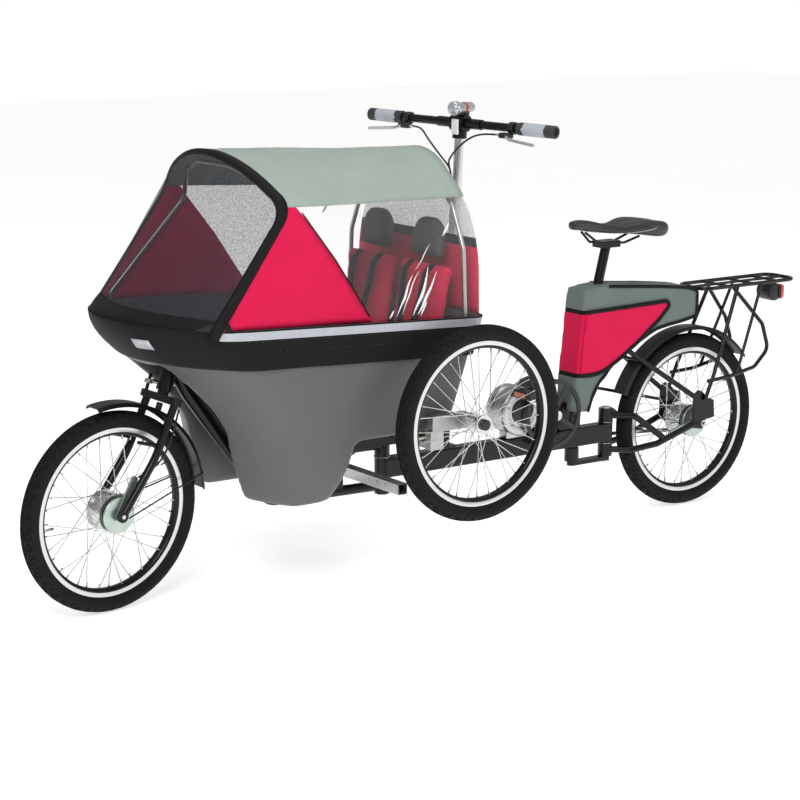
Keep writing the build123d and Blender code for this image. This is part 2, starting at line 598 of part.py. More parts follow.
def mudguard(from_angle, to_angle):
    """A strip bent round the wheel between two angles from +X."""
    half = GUARD_WIDTH / 2
    outline = Polyline((-half, GUARD_RADIUS - 9), (-half + 7, GUARD_RADIUS), (half - 7, GUARD_RADIUS),
                       (half, GUARD_RADIUS - 9), (half - 3, GUARD_RADIUS - 10),
                       (half - 8, GUARD_RADIUS - 3), (-half + 8, GUARD_RADIUS - 3),
                       (-half + 3, GUARD_RADIUS - 10), close=True)
    turn = revolve(Plane.YZ * make_face(outline), Axis.Y, revolution_arc=to_angle - from_angle)
    return turn.rotate(Axis.Y, 90 - to_angle)


def front_mudguard():
    strip = Pos(FRONT, 0, TYRE_RADIUS) * mudguard(4, 101)
    crown_foot = on_head(CROWN_LOW)
    tab = rod(crown_foot - HEAD_DIR * 18, crown_foot - HEAD_DIR * FIT, 8)
    stays = []
    for side in (-1, 1):
        outside = BLADE_Y - 2 + 3.5 + 2 + FIT
        stays.append(rod((FRONT + 15, side * outside, TYRE_RADIUS - 5),
                         (FRONT + 262, side * 26, TYRE_RADIUS + 62), 2))
    return strip + tab + stays


def brake_plate(x, y, z, arm_angle, outward):
    """Cover of a drum brake with its reaction arm and cable lever."""
    cover = ring_about_y(45, 0, 6, x, y, z)
    cover = fillet(cover.edges(), 2)
    reach = Vector(x + 92 * cos(radians(arm_angle)), y + outward * 1.5, z + 92 * sin(radians(arm_angle)))
    arm_plane = Plane(origin=(Vector(x, reach.Y, z) + reach) / 2, x_dir=reach - Vector(x, reach.Y, z),
                      z_dir=(0, 1, 0))
    arm = extrude(arm_plane * SlotCenterToCenter(92, 18), 3, both=True)
    bore = ring_about_y(WHEEL_AXLE_RADIUS + 1, 0, 40, x, y, z)
    return cover + arm - bore


parts["fork"] = steered(fork())
parts["front_mudguard"] = steered(front_mudguard())
parts["front_brake"] = steered(brake_plate(FRONT, -38, TYRE_RADIUS, 62, -1))
parts["rear_brake"] = brake_plate(0, -42, TYRE_RADIUS, 196, -1)


parts["rear_mudguard"] = Pos(0, 0, TYRE_RADIUS) * mudguard(38, 158)


# Steering column: foot bearing on the beam, tube, arm for the tie rod
COLUMN_RADIUS = 12.7
COLUMN_ARM_Z = 342.0


def column_bearing():
    low = BEAM_Z + BEAM_HEIGHT / 2 + FIT
    foot = extrude(Plane((COLUMN_X, 0, low)) * RectangleRounded(70, 38, 8), 8)
    tube = rod(on_column(low + 4), on_column(COLUMN_ARM_Z - 16), 18)
    return foot + tube - rod(on_column(low + 10), on_column(500), COLUMN_RADIUS + RUNNING)


def column():
    low = BEAM_Z + BEAM_HEIGHT / 2 + 11
    tube = rod(on_column(low), on_column(BAR_Z - 6), COLUMN_RADIUS)
    foot = on_column(COLUMN_ARM_Z)
    plane = Plane(origin=foot + Vector(0, ARM_LENGTH / 2, 0), x_dir=(0, 1, 0), z_dir=COLUMN_DIR)
    arm = extrude(plane * SlotCenterToCenter(ARM_LENGTH, 30), 5, both=True)
    pin_foot = foot + Vector(0, ARM_LENGTH, 0)
    pin = rod(pin_foot, pin_foot + COLUMN_DIR * 24, ARM_PIN)
    return tube + arm + pin


def tie_rod(rear, front):
    along = (front - rear).normalized()
    bar = rod(rear + along * 9, front - along * 9, TIE_ROD_RADIUS)
    back_eye = rod(rear - COLUMN_DIR * 5, rear + COLUMN_DIR * 5, EYE_RADIUS)
    front_eye = rod(front - HEAD_DIR * 5, front + HEAD_DIR * 5, EYE_RADIUS)
    bar = bar + back_eye + front_eye
    bar -= rod(rear - COLUMN_DIR * 20, rear + COLUMN_DIR * 20, ARM_PIN + RUNNING)
    return bar - rod(front - HEAD_DIR * 20, front + HEAD_DIR * 20, ARM_PIN + ROD_EYE_PLAY)


def about(axis, point, angle):
    """Where a point goes when it turns about an axis."""
    return Vertex(*point).rotate(axis, angle).center()


rear_eye = on_column(COLUMN_ARM_Z) + Vector(0, ARM_LENGTH, 0) + COLUMN_DIR * 12
front_eye = on_head((CROWN_LOW + CROWN_HIGH) / 2) + Vector(0, ARM_LENGTH, 0) + HEAD_DIR * ROD_EYE_HEIGHT
rear_pin = about(COLUMN_AXIS, rear_eye, FORK_AT_REST)
front_pin = about(HEAD_AXIS, front_eye, FORK_AT_REST)
parts["column_bearing"] = column_bearing()
parts["steering_column"] = turned(column(), FORK_AT_REST)
parts["tie_rod"] = tie_rod(rear_pin, front_pin)


# Handlebar with its clamp, grips, brake levers and headlight
GRIP_LENGTH = 118.0
GRIP_RADIUS = 16.5
CLAMP_RADIUS = 22.0


def handlebar():
    centre = on_column(BAR_Z)
    half = BAR_WIDTH / 2
    bar = ring_about_y(BAR_RADIUS - 2.5, 0, 2 * half - 6, centre.X, 0, centre.Z)
    bar += ring_about_y(BAR_RADIUS, 0, 150, centre.X, 0, centre.Z)
    clamp = ring_about_y(CLAMP_RADIUS, 0, 46, centre.X, 0, centre.Z)
    post = rod(on_column(BAR_Z - 40), centre, 19)
    socket = rod(on_column(BAR_Z - 60), on_column(BAR_Z - 6 + FIT), COLUMN_RADIUS + RUNNING)
    return bar + clamp + post - socket


def grip(side):
    centre = on_column(BAR_Z)
    outer = BAR_WIDTH / 2
    shape = ring_about_y(GRIP_RADIUS, BAR_RADIUS - 2.5 + RUNNING, GRIP_LENGTH, centre.X,
                         side * (outer - GRIP_LENGTH / 2), centre.Z)
    return shape


def brake_lever(side):
    centre = on_column(BAR_Z)
    inner = BAR_WIDTH / 2 - GRIP_LENGTH - 22
    clamp = ring_about_y(16, BAR_RADIUS - 2.5 + RUNNING, 16, centre.X, side * inner, centre.Z)
    blade = pipe([(centre.X - 18, side * (inner - 14), centre.Z - 14),
                  (centre.X - 40, side * (inner + 16), centre.Z - 24),
                  (centre.X - 44, side * (inner + 108), centre.Z - 34)], 5, 24)
    body = Pos(centre.X - 22, side * (inner - 6), centre.Z - 18) * Box(24, 38, 14)
    return clamp + blade + body


def headlight():
    centre = on_column(BAR_Z)
    base = Vector(centre.X, -10, centre.Z + CLAMP_RADIUS + 18)
    lens = rod(base + Vector(-46, 0, 0), base + Vector(-24, 0, 0), 18)
    body = rod(base + Vector(-24, 0, 0), base + Vector(34, 0, 0), 13.5)
    foot_low = centre.Z + CLAMP_RADIUS + FIT
    return lens + body + Pos(centre.X, -10, (foot_low + base.Z) / 2) * Box(16, 14, base.Z - foot_low)


def cable(points, run_out=None, radius=2.5):
    """A cable's outer along a curve through its points, with a straight end."""
    path = Spline(*points)
    if run_out:
        along = (Vector(*run_out) - Vector(*points[-1])).normalized()
        start = Vector(0, -points[0][1], 0).normalized()
        path = Spline(*points, tangents=(start, along)) + Line(points[-1], run_out)
    return sweep(Plane(origin=path @ 0, z_dir=path % 0) * Circle(radius), path=path)


def bar_cables():
    """One cable from each lever, in an arc to the column and down along it."""
    centre = on_column(BAR_Z)
    reach = BAR_WIDTH / 2 - GRIP_LENGTH - 22 - 26
    beside = COLUMN_RADIUS + 2.5 + 2 * FIT
    return [cable([(centre.X - 22, side * reach, centre.Z - 18),
                   (centre.X - 46, side * reach * 0.5, centre.Z - 30 - drop),
                   (centre.X - 50, side * 14, centre.Z - 84 - drop),
                   (on_column(BAR_Z - 235).X - beside, side * 3, BAR_Z - 235)],
                  (on_column(COLUMN_Z + 160).X - beside, side * 3, COLUMN_Z + 160))
            for side, drop in ((-1, 0), (1, 6))]


def fork_cable():
    """From the crown down behind the left blade to the brake's arm."""
    top = on_head(CROWN_LOW - 8)
    return cable([(top.X + 16, -BLADE_Y - 2, top.Z), (FRONT + 126, -BLADE_Y - 3, TYRE_RADIUS + 150),
                  (FRONT + 96, -BLADE_Y + 6, TYRE_RADIUS + 108),
                  (FRONT + 73, -BLADE_Y + 14.5, TYRE_RADIUS + 93),
                  (FRONT + 55, -BLADE_Y + 15, TYRE_RADIUS + 86)])


parts["handlebar"] = turned(handlebar())
parts["bar_cables"] = Compound([turned(arc) for arc in bar_cables()])
parts["fork_cable"] = steered(fork_cable())
parts["grips"] = Compound([turned(grip(side)) for side in (-1, 1)])
parts["brake_levers"] = Compound([turned(brake_lever(side)) for side in (-1, 1)])
parts["headlight"] = turned(headlight())


# Seat post, clamp and saddle
saddle_sections = (
    # x, half width, height, underside z
    (-437, 16, 24, 826), (-400, 19, 30, 822), (-330, 27, 34, 812),
    (-250, 58, 38, 806), (-180, 74, 44, 796), (-124, 50, 34, 798),
)


def saddle_underside(x):
    """The height of the saddle's underside, straight from section to section."""
    for (x1, _, _, low1), (x2, _, _, low2) in zip(saddle_sections, saddle_sections[1:]):
        if x1 <= x <= x2:
            return low1 + (low2 - low1) * (x - x1) / (x2 - x1)


def seat_post():
    post = rod(on_seat_mast(430), on_seat_mast(SADDLE_TOP - 62), SEAT_POST_RADIUS)
    top = on_seat_mast(SADDLE_TOP - 62)
    head = Pos(top.X, 0, top.Z) * Box(64, 44, 18)
    radius = 3.5
    front, rear = (saddle_underside(x) - radius - FIT for x in (-392, -212))
    rails = [pipe([(-392, side * 8, front), (-352, side * 20, SADDLE_TOP - 57),
                   (-262, side * 22, SADDLE_TOP - 60), (-212, side * 26, rear)], radius, 12)
             for side in (-1, 1)]
    return post + head + rails


def seat_clamp():
    low = on_seat_mast(SEAT_MAST_TOP - 14)
    high = on_seat_mast(SEAT_MAST_TOP + 6)
    ring = rod(low, high, SEAT_MAST_RADIUS + 6) - rod(low - SEAT_DIR * 2, on_seat_mast(SEAT_MAST_TOP + FIT),
                                                    SEAT_MAST_RADIUS + RUNNING)
    ring -= rod(low, high + SEAT_DIR * 10, SEAT_POST_RADIUS + RUNNING)
    lever = rod(low + Vector(-26, -4, 8), low + Vector(-8, -20, 6), 4)
    return ring + lever


def saddle():
    """Lofted through upright sections from the nose to the tail."""
    faces = [Plane(origin=(x, 0, low + height / 2), x_dir=(0, 1, 0), z_dir=(1, 0, 0))
             * RectangleRounded(2 * half, height, height * 0.45) for x, half, height, low in saddle_sections]
    return loft(faces)


parts["seat_post"] = seat_post()
parts["seat_clamp"] = seat_clamp()
parts["saddle"] = saddle()


# Frame bag: an open cover over the mast and the rear wheel's mudguard
BAG_HALF = 41.0
BAG_WALL = 3.5


def bag_outline(inset):
    return Polyline((-412 + inset, 666 - inset), (-330, 678 - inset), (-40, 646 - inset),
                    (2 - inset, 634 - inset), (4 - inset, 548), (-60, 540), (-150, 528),
                    (-230, 492), (-300, 450), (-360, 394), (-396, 322), (-452 + inset, 328), close=True)


def frame_bag():
    outer = extrude(Plane.XZ * make_face(bag_outline(0)), BAG_HALF, both=True)
    inner = extrude(Plane.XZ * make_face(bag_outline(BAG_WALL)), BAG_HALF - BAG_WALL, both=True)
    under = Pos(0, 0, -BAG_WALL * 3) * inner
    hole = rod(on_seat_mast(600), on_seat_mast(720), SEAT_MAST_RADIUS + 6 + FIT)
    slot = Pos(-450, 0, 330) * Box(60, 32, 70)
    return outer - inner - under - hole - slot - seat_stays(FIT)


parts["frame_bag"] = frame_bag()


# Rear rack: deck loop, legs, crossing struts and the bag hoops
RACK_Z = TYRE_RADIUS + 381.0
RACK_HALF = 62.0
RACK_FRONT, RACK_REAR = 12.0, 372.0
RACK_RADIUS = 5.5


def rack():
    half = RACK_HALF - RACK_RADIUS
    rails = []
    for side in (-1, 1):
        rails.append(pipe([(RACK_FRONT, 0, RACK_Z), (RACK_FRONT, side * half, RACK_Z),
                           (RACK_REAR, side * half, RACK_Z), (RACK_REAR, 0, RACK_Z)], RACK_RADIUS, 30))
        hoop_y = side * (half + 20)
        foot_y = side * (DROPOUT_Y + DROPOUT_THICKNESS / 2 + FIT + RACK_RADIUS)
        rails.append(pipe([(16, foot_y, RACK_Z - 261), (100, hoop_y, RACK_Z - 257), (198, hoop_y, RACK_Z - 239),
                           (250, hoop_y, RACK_Z - 191), (224, hoop_y, RACK_Z - 116), (120, side * half, RACK_Z)], RACK_RADIUS, 30))
        rails.append(pipe([(6, foot_y, RACK_Z - 315), (40, foot_y, RACK_Z - 238), (142, side * half, RACK_Z)], RACK_RADIUS, 60))
        rails.append(rod((129, hoop_y, RACK_Z - 253), (236, side * half, RACK_Z), RACK_RADIUS - 1))
    for x in (110, 205, 300):
        rails.append(rod((x, -half, RACK_Z), (x, half, RACK_Z), RACK_RADIUS - 1.5))
    rails.append(rod((RACK_FRONT, 0, RACK_Z), (RACK_REAR, 0, RACK_Z), RACK_RADIUS - 1.5))
    frame = rails[0]
    for rail in rails[1:]:
        frame = frame + rail
    return frame


def tail_light():
    height = RACK_Z - 39
    body = ring_about_y(26, 0, 56, RACK_REAR - 50, 0, height)
    lens = Pos(RACK_REAR - 28, 0, height) * Box(22, 70, 44)
    post = rod((RACK_REAR - 50, 0, height + 18), (RACK_REAR - 50, 0, RACK_Z - RACK_RADIUS + 1.5 - FIT), 5)
    return body + fillet(lens.edges().filter_by(Axis.Y), 8) + post


parts["rear_rack"] = rack()
parts["tail_light"] = tail_light()


# Tub: a boat-shaped hull with two foot wells and a tunnel between them. Each
# section has its height, half width and, measured behind the front axle, its
# nose, the start of its straight sides and its rear end.
hull_sections = (
    # z, nose, side, half width, rear
    (396, 277, 369, 258, 847),
    (470, 237, 329, 268, 867),
    (560, 147, 269, 277, 891),
    (640, 43, 209, 283, 913),
    (760, -17, 179, 287, 943),
)
well_sections = (
    # z, nose, side, half width, rear
    (WELL_FLOOR_Z, 317, 379, 232, 503),
    (300, 297, 375, 248, 533),
    (420, 265, 363, 262, 563),
)


def section_face(z, nose, side, half, rear, inset):
    """A plan section: rounded nose, straight sides and rounded rear corners."""
    nose, side, rear = FRONT + nose + inset, FRONT + side, FRONT + rear - inset
    half -= inset
    corner = 46
    outline = [
        ThreePointArc((side, -half), (nose, 0), (side, half)),
        Line((side, half), (rear - corner, half)),
        ThreePointArc((rear - corner, half), (rear - corner * 0.293, half - corner * 0.293),
                      (rear, half - corner)),
        Line((rear, half - corner), (rear, -half + corner)),
        ThreePointArc((rear, -half + corner), (rear - corner * 0.293, -half + corner * 0.293),
                      (rear - corner, -half)),
        Line((rear - corner, -half), (side, -half)),
    ]
    return Plane((0, 0, z)) * make_face(outline)


def stacked(sections, inset, raise_foot=0.0):
    faces = []
    for number, (z, nose, side, half, rear) in enumerate(sections):
        height = z + raise_foot if number == 0 else z
        faces.append(section_face(height, nose, side, half, rear, inset))
    return loft(faces)


def rim_plane(drop):
    """The tilted plane of the tub's rim, lowered by a distance."""
    return Plane(origin=(TUB_REAR_X, 0, RIM_REAR_Z - drop),
                 z_dir=(sin(radians(RIM_SLOPE)), 0, cos(radians(RIM_SLOPE))))


def below_rim(solid, drop=0.0):
    cutter = rim_plane(drop) * Pos(0, 0, 500) * Box(4000, 1500, 1000)
    return solid - cutter


def tunnel(wall):
    """What the tunnel takes out of the hull, with a wall added round it."""
    outline = Polyline((101 - wall, 200), (101 - wall, 600), (129, 640 + wall),
                       (259 + wall, 640 + wall), (299 + wall, 545 + wall), (469, 492 + wall),
                       (969, 462 + wall), (969, 200), close=True)
    return Pos(FRONT, 0, 0) * extrude(Plane.XZ * make_face(outline), WELL_INNER_Y + wall, both=True)


def tub():
    outer = stacked(hull_sections, 0) + stacked(well_sections, 0) - tunnel(0)
    inner = stacked(hull_sections, TUB_WALL, TUB_WALL) + stacked(well_sections, TUB_WALL, TUB_WALL)
    return below_rim(outer - (inner - tunnel(TUB_WALL)))


def skirt():
    outer = stacked(hull_sections, -SKIRT_THICKNESS - FIT)
    inner = stacked(hull_sections, -FIT)
    band = below_rim(outer - inner)
    lower = rim_plane(SKIRT_HEIGHT) * Pos(0, 0, -500) * Box(4000, 1500, 1000)
    return band - lower


parts["tub"] = tub()
parts["skirt"] = skirt()


# Canopy: fabric roof, crimson side panels, clear windows and a mesh front.
# An arch lofted from the front corner to the rear end is cut by a sloping
# nose, whose own skin is the mesh front.
canopy_arches = (
    # x, base half width, shoulder half and z, corner y and z, crown half and z, top z
    (FRONT - 51, 285, 277, 940, 264, 994, 236, 1022, 1104),
    (CANOPY_FRONT_X, 285, 277, 940, 264, 994, 236, 1022, 1104),
    (CANOPY_REAR_X, 270, 264, 800, 228, 922, 130, 1028, 1083),
)
NOSE_LOW = (640.0, -45.0, 87.0)             # z, nose and side of the nose's skin
NOSE_HIGH = (1140.0, 301.0, 479.0)
CANOPY_BASE_Z = 600.0


def arch_face(x, base, shoulder, shoulder_z, corner, corner_z, crown, crown_z, top, inset):
    base, shoulder, corner, crown = (half - inset for half in (base, shoulder, corner, crown))
    top, crown_z = top - inset, crown_z - inset
    corner_z -= inset * 0.6
    outline = [
        Line((base, CANOPY_BASE_Z), (shoulder, shoulder_z)),
        ThreePointArc((shoulder, shoulder_z), (corner, corner_z), (crown, crown_z)),
        ThreePointArc((crown, crown_z), (0, top), (-crown, crown_z)),
        ThreePointArc((-crown, crown_z), (-corner, corner_z), (-shoulder, shoulder_z)),
        Line((-shoulder, shoulder_z), (-base, CANOPY_BASE_Z)),
        Line((-base, CANOPY_BASE_Z), (base, CANOPY_BASE_Z)),
    ]
    return Plane(origin=(x, 0, 0), x_dir=(0, 1, 0), z_dir=(1, 0, 0)) * make_face(outline)


def arch_form(inset):
    faces = [arch_face(*row, inset) for row in canopy_arches]
    rear = loft(faces[1:], ruled=True)
    front = loft(faces[:2], ruled=True)
    return front + rear


def nose_form(inset):
    faces = [section_face(z, nose, side, 300, 989, inset)
             for z, nose, side in (NOSE_LOW, NOSE_HIGH)]
    return loft(faces, ruled=True)


def above_rim(solid, lift):
    cutter = rim_plane(-lift) * Pos(0, 0, -500) * Box(4000, 1500, 1000)
    return solid - cutter


def side_prism(points):
    return extrude(Plane.XZ * make_face(Polyline(*points, close=True)), 400, both=True)


def canopy():
    gap = FIT / 2
    thick = CANOPY_THICKNESS
    outer, inner, nose = arch_form(0), arch_form(thick), nose_form(0)
    skin = above_rim((outer - inner) & nose, FIT)
    ahead_x, behind_x = FRONT - 231, FRONT + 1069
    seam = [(ahead_x, 1007), (CANOPY_FRONT_X, 989), (CANOPY_REAR_X, 972), (behind_x, 968)]
    over = [(x, z + gap) for x, z in seam] + [(behind_x, 1300), (ahead_x, 1300)]
    under = [(x, z - gap) for x, z in seam] + [(behind_x, 500), (ahead_x, 500)]
    roof = skin & side_prism(over)
    sides = skin & side_prism(under)
    edge = [(FRONT + 357, 1000), (FRONT + 473, 856), (FRONT + 607, 660), (FRONT + 629, 500)]
    ahead = [(x - gap, z) for x, z in edge] + [(ahead_x, 500), (ahead_x, 1000)]
    behind = [(x + gap, z) for x, z in edge] + [(behind_x, 500), (behind_x, 1000)]
    red = sides & side_prism(ahead)
    clear = sides & side_prism(behind)
    mesh_skin = above_rim((nose - nose_form(2)) & arch_form(thick + FIT), FIT)
    mesh_front = mesh_skin - Pos(FRONT + 1169, 0, 900) * Box(700, 900, 900)
    rear = above_rim(arch_form(thick + FIT), FIT) & Pos(CANOPY_REAR_X - 2, 0, 900) * Box(3, 900, 900)
    return roof, red, clear, mesh_front, rear


def bows():
    rear_x = CANOPY_REAR_X - 38
    low = RIM_REAR_Z - 40
    rear = [(-257, low), (-246, 846), (-200, 948), (-92, 1034)]
    rear_path = [(rear_x, y, z) for y, z in rear] + [(rear_x, -y, z) for y, z in reversed(rear)]
    rear_bow = pipe(rear_path, BOW_RADIUS, 50)
    for side in (-1, 1):
        rear_bow += Pos(rear_x, side * 262.4, low + 12) * Box(12, 17.8, 24)
    foot_x = FRONT + 160
    foot_z = RIM_REAR_Z + (TUB_REAR_X - foot_x) * tan(radians(RIM_SLOPE)) + 2 * FIT
    front = [(foot_x, -269.4, foot_z), (foot_x, -269.4, foot_z + 17), (FRONT + 373, -258, 962),
             (FRONT + 339, -190, 1036), (FRONT + 303, -70, 1072)]
    front_path = front + [(x, -y, z) for x, y, z in reversed(front)]
    return [rear_bow, pipe(front_path, BOW_RADIUS, 30)]


roof, red, clear, mesh_front, rear_window = canopy()
parts["canopy_roof"] = roof
parts["canopy_side_panels"] = red
parts["side_windows"] = clear
parts["front_mesh"] = mesh_front
parts["rear_window"] = rear_window
parts["canopy_bows"] = Compound(bows())


# Twin child seat: one bench with two backs and their headrests
SEAT_X = FRONT + 711.0
SEAT_BOTTOM = 483.0
SEAT_THICKNESS = 42.0
SEAT_SLOPE = 3.43              # degrees that the bench and the tunnel under it fall to the rear


def bench():
    cushions = []
    for side in (-1, 1):
        cushion = fillet(Box(220, 216, SEAT_THICKNESS).edges(), 12)
        cushions.append(Pos(SEAT_X, side * 118, SEAT_BOTTOM + SEAT_THICKNESS / 2)
                        * Rot(0, SEAT_SLOPE, 0) * cushion)
    return cushions


def backs():
    pieces = []
    for side in (-1, 1):
        outline = Polyline((795, 519.5), (835, 519.5), (883, 812), (843, 812), close=True)
        back = Pos(FRONT, side * 116, 0) * extrude(Plane.XZ * make_face(outline), 104, both=True)
        pieces.append(fillet(back.edges(), 12))
    return pieces


def headrests():
    pieces = []
    for side in (-1, 1):
        outline = Polyline((847, 812.4), (879, 812.4), (893, 914), (863, 920), close=True)
        rest = Pos(FRONT, side * 112, 0) * extrude(Plane.XZ * make_face(outline), 62, both=True)
        pieces.append(fillet(rest.edges(), 10))
    return pieces


parts["seat_cushions"] = Compound(bench())
parts["seat_backs"] = Compound(backs())
parts["headrests"] = Compound(headrests())


# The model is moved so that its origin is the rider's place on the saddle
RIDER = (SADDLE_X, 0, SADDLE_TOP)
os.makedirs("parts", exist_ok=True)
for name, solid in parts.items():
    export_step(Pos(-RIDER[0], -RIDER[1], -RIDER[2]) * solid, f"parts/{name}.step")
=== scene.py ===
from math import asin, atan2, cos, hypot, pi, radians, sin, tan

import bmesh
import bpy
from mathutils import Matrix, Vector, noise


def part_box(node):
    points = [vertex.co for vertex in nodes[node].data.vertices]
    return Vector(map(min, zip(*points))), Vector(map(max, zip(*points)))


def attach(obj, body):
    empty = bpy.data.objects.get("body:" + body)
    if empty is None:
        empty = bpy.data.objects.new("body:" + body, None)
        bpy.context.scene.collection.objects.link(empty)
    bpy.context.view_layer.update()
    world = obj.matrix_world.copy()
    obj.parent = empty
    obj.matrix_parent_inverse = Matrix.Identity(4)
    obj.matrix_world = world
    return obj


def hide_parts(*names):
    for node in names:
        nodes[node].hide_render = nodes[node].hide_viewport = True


# An electric cargo bike with a covered child tub ahead of its rider, dressed
# over its rigid frame. Metres; X runs backwards, Y to the rider's right, and
# the origin is the rider's place on the saddle.
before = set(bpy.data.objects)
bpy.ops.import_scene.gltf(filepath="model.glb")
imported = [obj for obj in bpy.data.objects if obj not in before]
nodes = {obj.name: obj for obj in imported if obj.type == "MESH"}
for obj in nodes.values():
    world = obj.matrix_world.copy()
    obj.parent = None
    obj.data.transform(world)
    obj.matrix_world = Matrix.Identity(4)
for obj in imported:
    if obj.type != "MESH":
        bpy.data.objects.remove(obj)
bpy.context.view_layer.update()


# The view: a long lens ahead of the bike on its near side, at a standing
# person's eye height, looking slightly down.
camera = bpy.data.objects.new("camera", bpy.data.cameras.new("camera"))
camera.data.lens = 104.0
camera.data.shift_y = -0.05
camera.matrix_world = (Matrix.Translation((-4.171, -4.787, 0.818))
                       @ Matrix.Rotation(radians(-35.78), 4, "Z")
                       @ Matrix.Rotation(radians(90 - 10.86), 4, "X")
                       @ Matrix.Rotation(radians(0.36), 4, "Z"))
bpy.context.scene.collection.objects.link(camera)
bpy.context.scene.camera = camera
bpy.context.scene.view_settings.view_transform = "Standard"


# Soft studio light: a wide key from the front left, a broad top panel, a fill
# from behind on the near side, and a surround that is white to the eye and
# well under half as bright to the bike.
for name, place, target, size, power in (
        ("key_light", (-3.6, -3.0, 2.4), (-0.7, 0.0, -0.2), 1.6, 95.0),
        ("top_light", (-0.4, -0.2, 3.2), (-0.6, 0.0, -0.4), 3.0, 46.0),
        ("fill_light", (2.8, -3.0, 1.2), (0.0, 0.0, -0.4), 2.0, 26.0)):
    lamp = bpy.data.objects.new(name, bpy.data.lights.new(name, "AREA"))
    lamp.data.size = size
    lamp.data.energy = power
    lamp.location = place
    lamp.rotation_euler = (Vector(target) - Vector(place)).to_track_quat("-Z", "Y").to_euler()
    bpy.context.scene.collection.objects.link(lamp)
world = bpy.data.worlds.new("studio")
bpy.context.scene.world = world
world.use_nodes = True
world.node_tree.nodes["Background"].inputs["Color"].default_value = (1.0, 1.0, 1.0, 1.0)
to_eye = world.node_tree.nodes.new("ShaderNodeLightPath").outputs["Is Camera Ray"]
brightness = world.node_tree.nodes.new("ShaderNodeMapRange")
brightness.inputs["To Min"].default_value = 0.38
brightness.inputs["To Max"].default_value = 1.0
world.node_tree.links.new(to_eye, brightness.inputs["Value"])
world.node_tree.links.new(brightness.outputs["Result"], world.node_tree.nodes["Background"].inputs["Strength"])


# The floor: pale studio paper that gives off a little light, which keeps it
# close to white under the bike.
def linear(colour):
    """An sRGB hex colour as the linear values that the shaders take."""
    channels = [int(colour[place:place + 2], 16) / 255 for place in (1, 3, 5)]
    return tuple(c / 12.92 if c <= 0.04045 else ((c + 0.055) / 1.055) ** 2.4 for c in channels) + (1.0,)


def add_node(material, kind, settings=(), **sockets):
    """Adds one node: its settings, and its sockets as values or as outputs to link."""
    added = material.node_tree.nodes.new("ShaderNode" + kind)
    for name, value in dict(settings).items():
        setattr(added, name, value)
    for name, value in sockets.items():
        socket = added.inputs[name.replace("_", " ")]
        if isinstance(value, bpy.types.NodeSocket):
            material.node_tree.links.new(value, socket)
        else:
            socket.default_value = value
    return added


def into(material, **outputs):
    """Links outputs into the material's shader."""
    shader = material.node_tree.nodes["Principled BSDF"]
    for socket, output in outputs.items():
        material.node_tree.links.new(output, shader.inputs[socket.replace("_", " ")])


def finish_called(name, dark, light, roughness, patch, grain, relief, **sockets):
    """A finish of two close colours in soft patches with a fine grain in relief.

    patch, grain and relief are sizes in millimetres."""
    material = bpy.data.materials.new(name)
    material.use_nodes = True
    shader = material.node_tree.nodes["Principled BSDF"]
    shader.inputs["Roughness"].default_value = roughness
    for socket, value in sockets.items():
        shader.inputs[socket.replace("_", " ")].default_value = value
    place = add_node(material, "TexCoord").outputs["Object"]
    patches = add_node(material, "TexNoise", Vector=place, Scale=1000.0 / patch, Detail=4.0).outputs["Fac"]
    colour = add_node(material, "MixRGB", Fac=patches, Color1=linear(dark), Color2=linear(light))
    grains = add_node(material, "TexNoise", Vector=place, Scale=1000.0 / grain, Detail=2.0).outputs["Fac"]
    raised = add_node(material, "Bump", Height=grains, Distance=relief / 1000.0, Strength=1.0)
    into(material, Base_Color=colour.outputs["Color"], Normal=raised.outputs["Normal"])
    return material


def object_from(bm, name, materials, smooth=True):
    """Turns a finished bmesh into a piece with its materials."""
    mesh = bpy.data.meshes.new(name)
    bmesh.ops.recalc_face_normals(bm, faces=bm.faces)
    bm.to_mesh(mesh)
    bm.free()
    for material in materials:
        mesh.materials.append(material)
    for polygon in mesh.polygons:
        polygon.use_smooth = smooth
    piece = bpy.data.objects.new(name, mesh)
    bpy.context.scene.collection.objects.link(piece)
    return piece


GROUND = -0.842
paper = finish_called("studio_paper", "#ededec", "#f6f6f5", 0.9, 900.0, 30.0, 0.3)
paper.node_tree.nodes["Principled BSDF"].inputs["Emission Color"].default_value = (1.0, 1.0, 1.0, 1.0)
paper.node_tree.nodes["Principled BSDF"].inputs["Emission Strength"].default_value = 0.62
bm = bmesh.new()
bmesh.ops.create_grid(bm, x_segments=4, y_segments=4, size=14.0)
bmesh.ops.translate(bm, verts=bm.verts, vec=(0, 0, GROUND))
object_from(bm, "floor", [paper], smooth=False)


# Frame, fork and rack: steel tube, brazed and welded, under glossy black
# powder coat with a faint orange peel.
def coat(material, *names):
    """Gives CAD nodes a material."""
    for name in names:
        nodes[name].data.materials.clear()
        nodes[name].data.materials.append(material)


powder_coat = finish_called("black_powder_coat", "#070708", "#0e0e0f", 0.28, 70.0, 3.0, 0.03,
                            Specular_IOR_Level=0.25, Coat_Weight=0.12, Coat_Roughness=0.1)
coat(powder_coat, "front_frame", "main_beam", "seat_mast", "rear_frame", "seat_stays", "fold_link", "tub_rails",
     "fork", "rear_rack", "handlebar", "column_bearing", "seat_post")


# Pivot pins, tie rod and seat clamp: zinc-plated steel, bright with a faint
# yellow cloud. Bright washers show at both ends of the two upright pivots.
zinc = finish_called("zinc_plated_steel", "#aeab9f", "#cfcdc4", 0.28, 18.0, 1.0, 0.02, Metallic=1.0)
coat(zinc, "pivot_pins", "tie_rod", "seat_clamp")


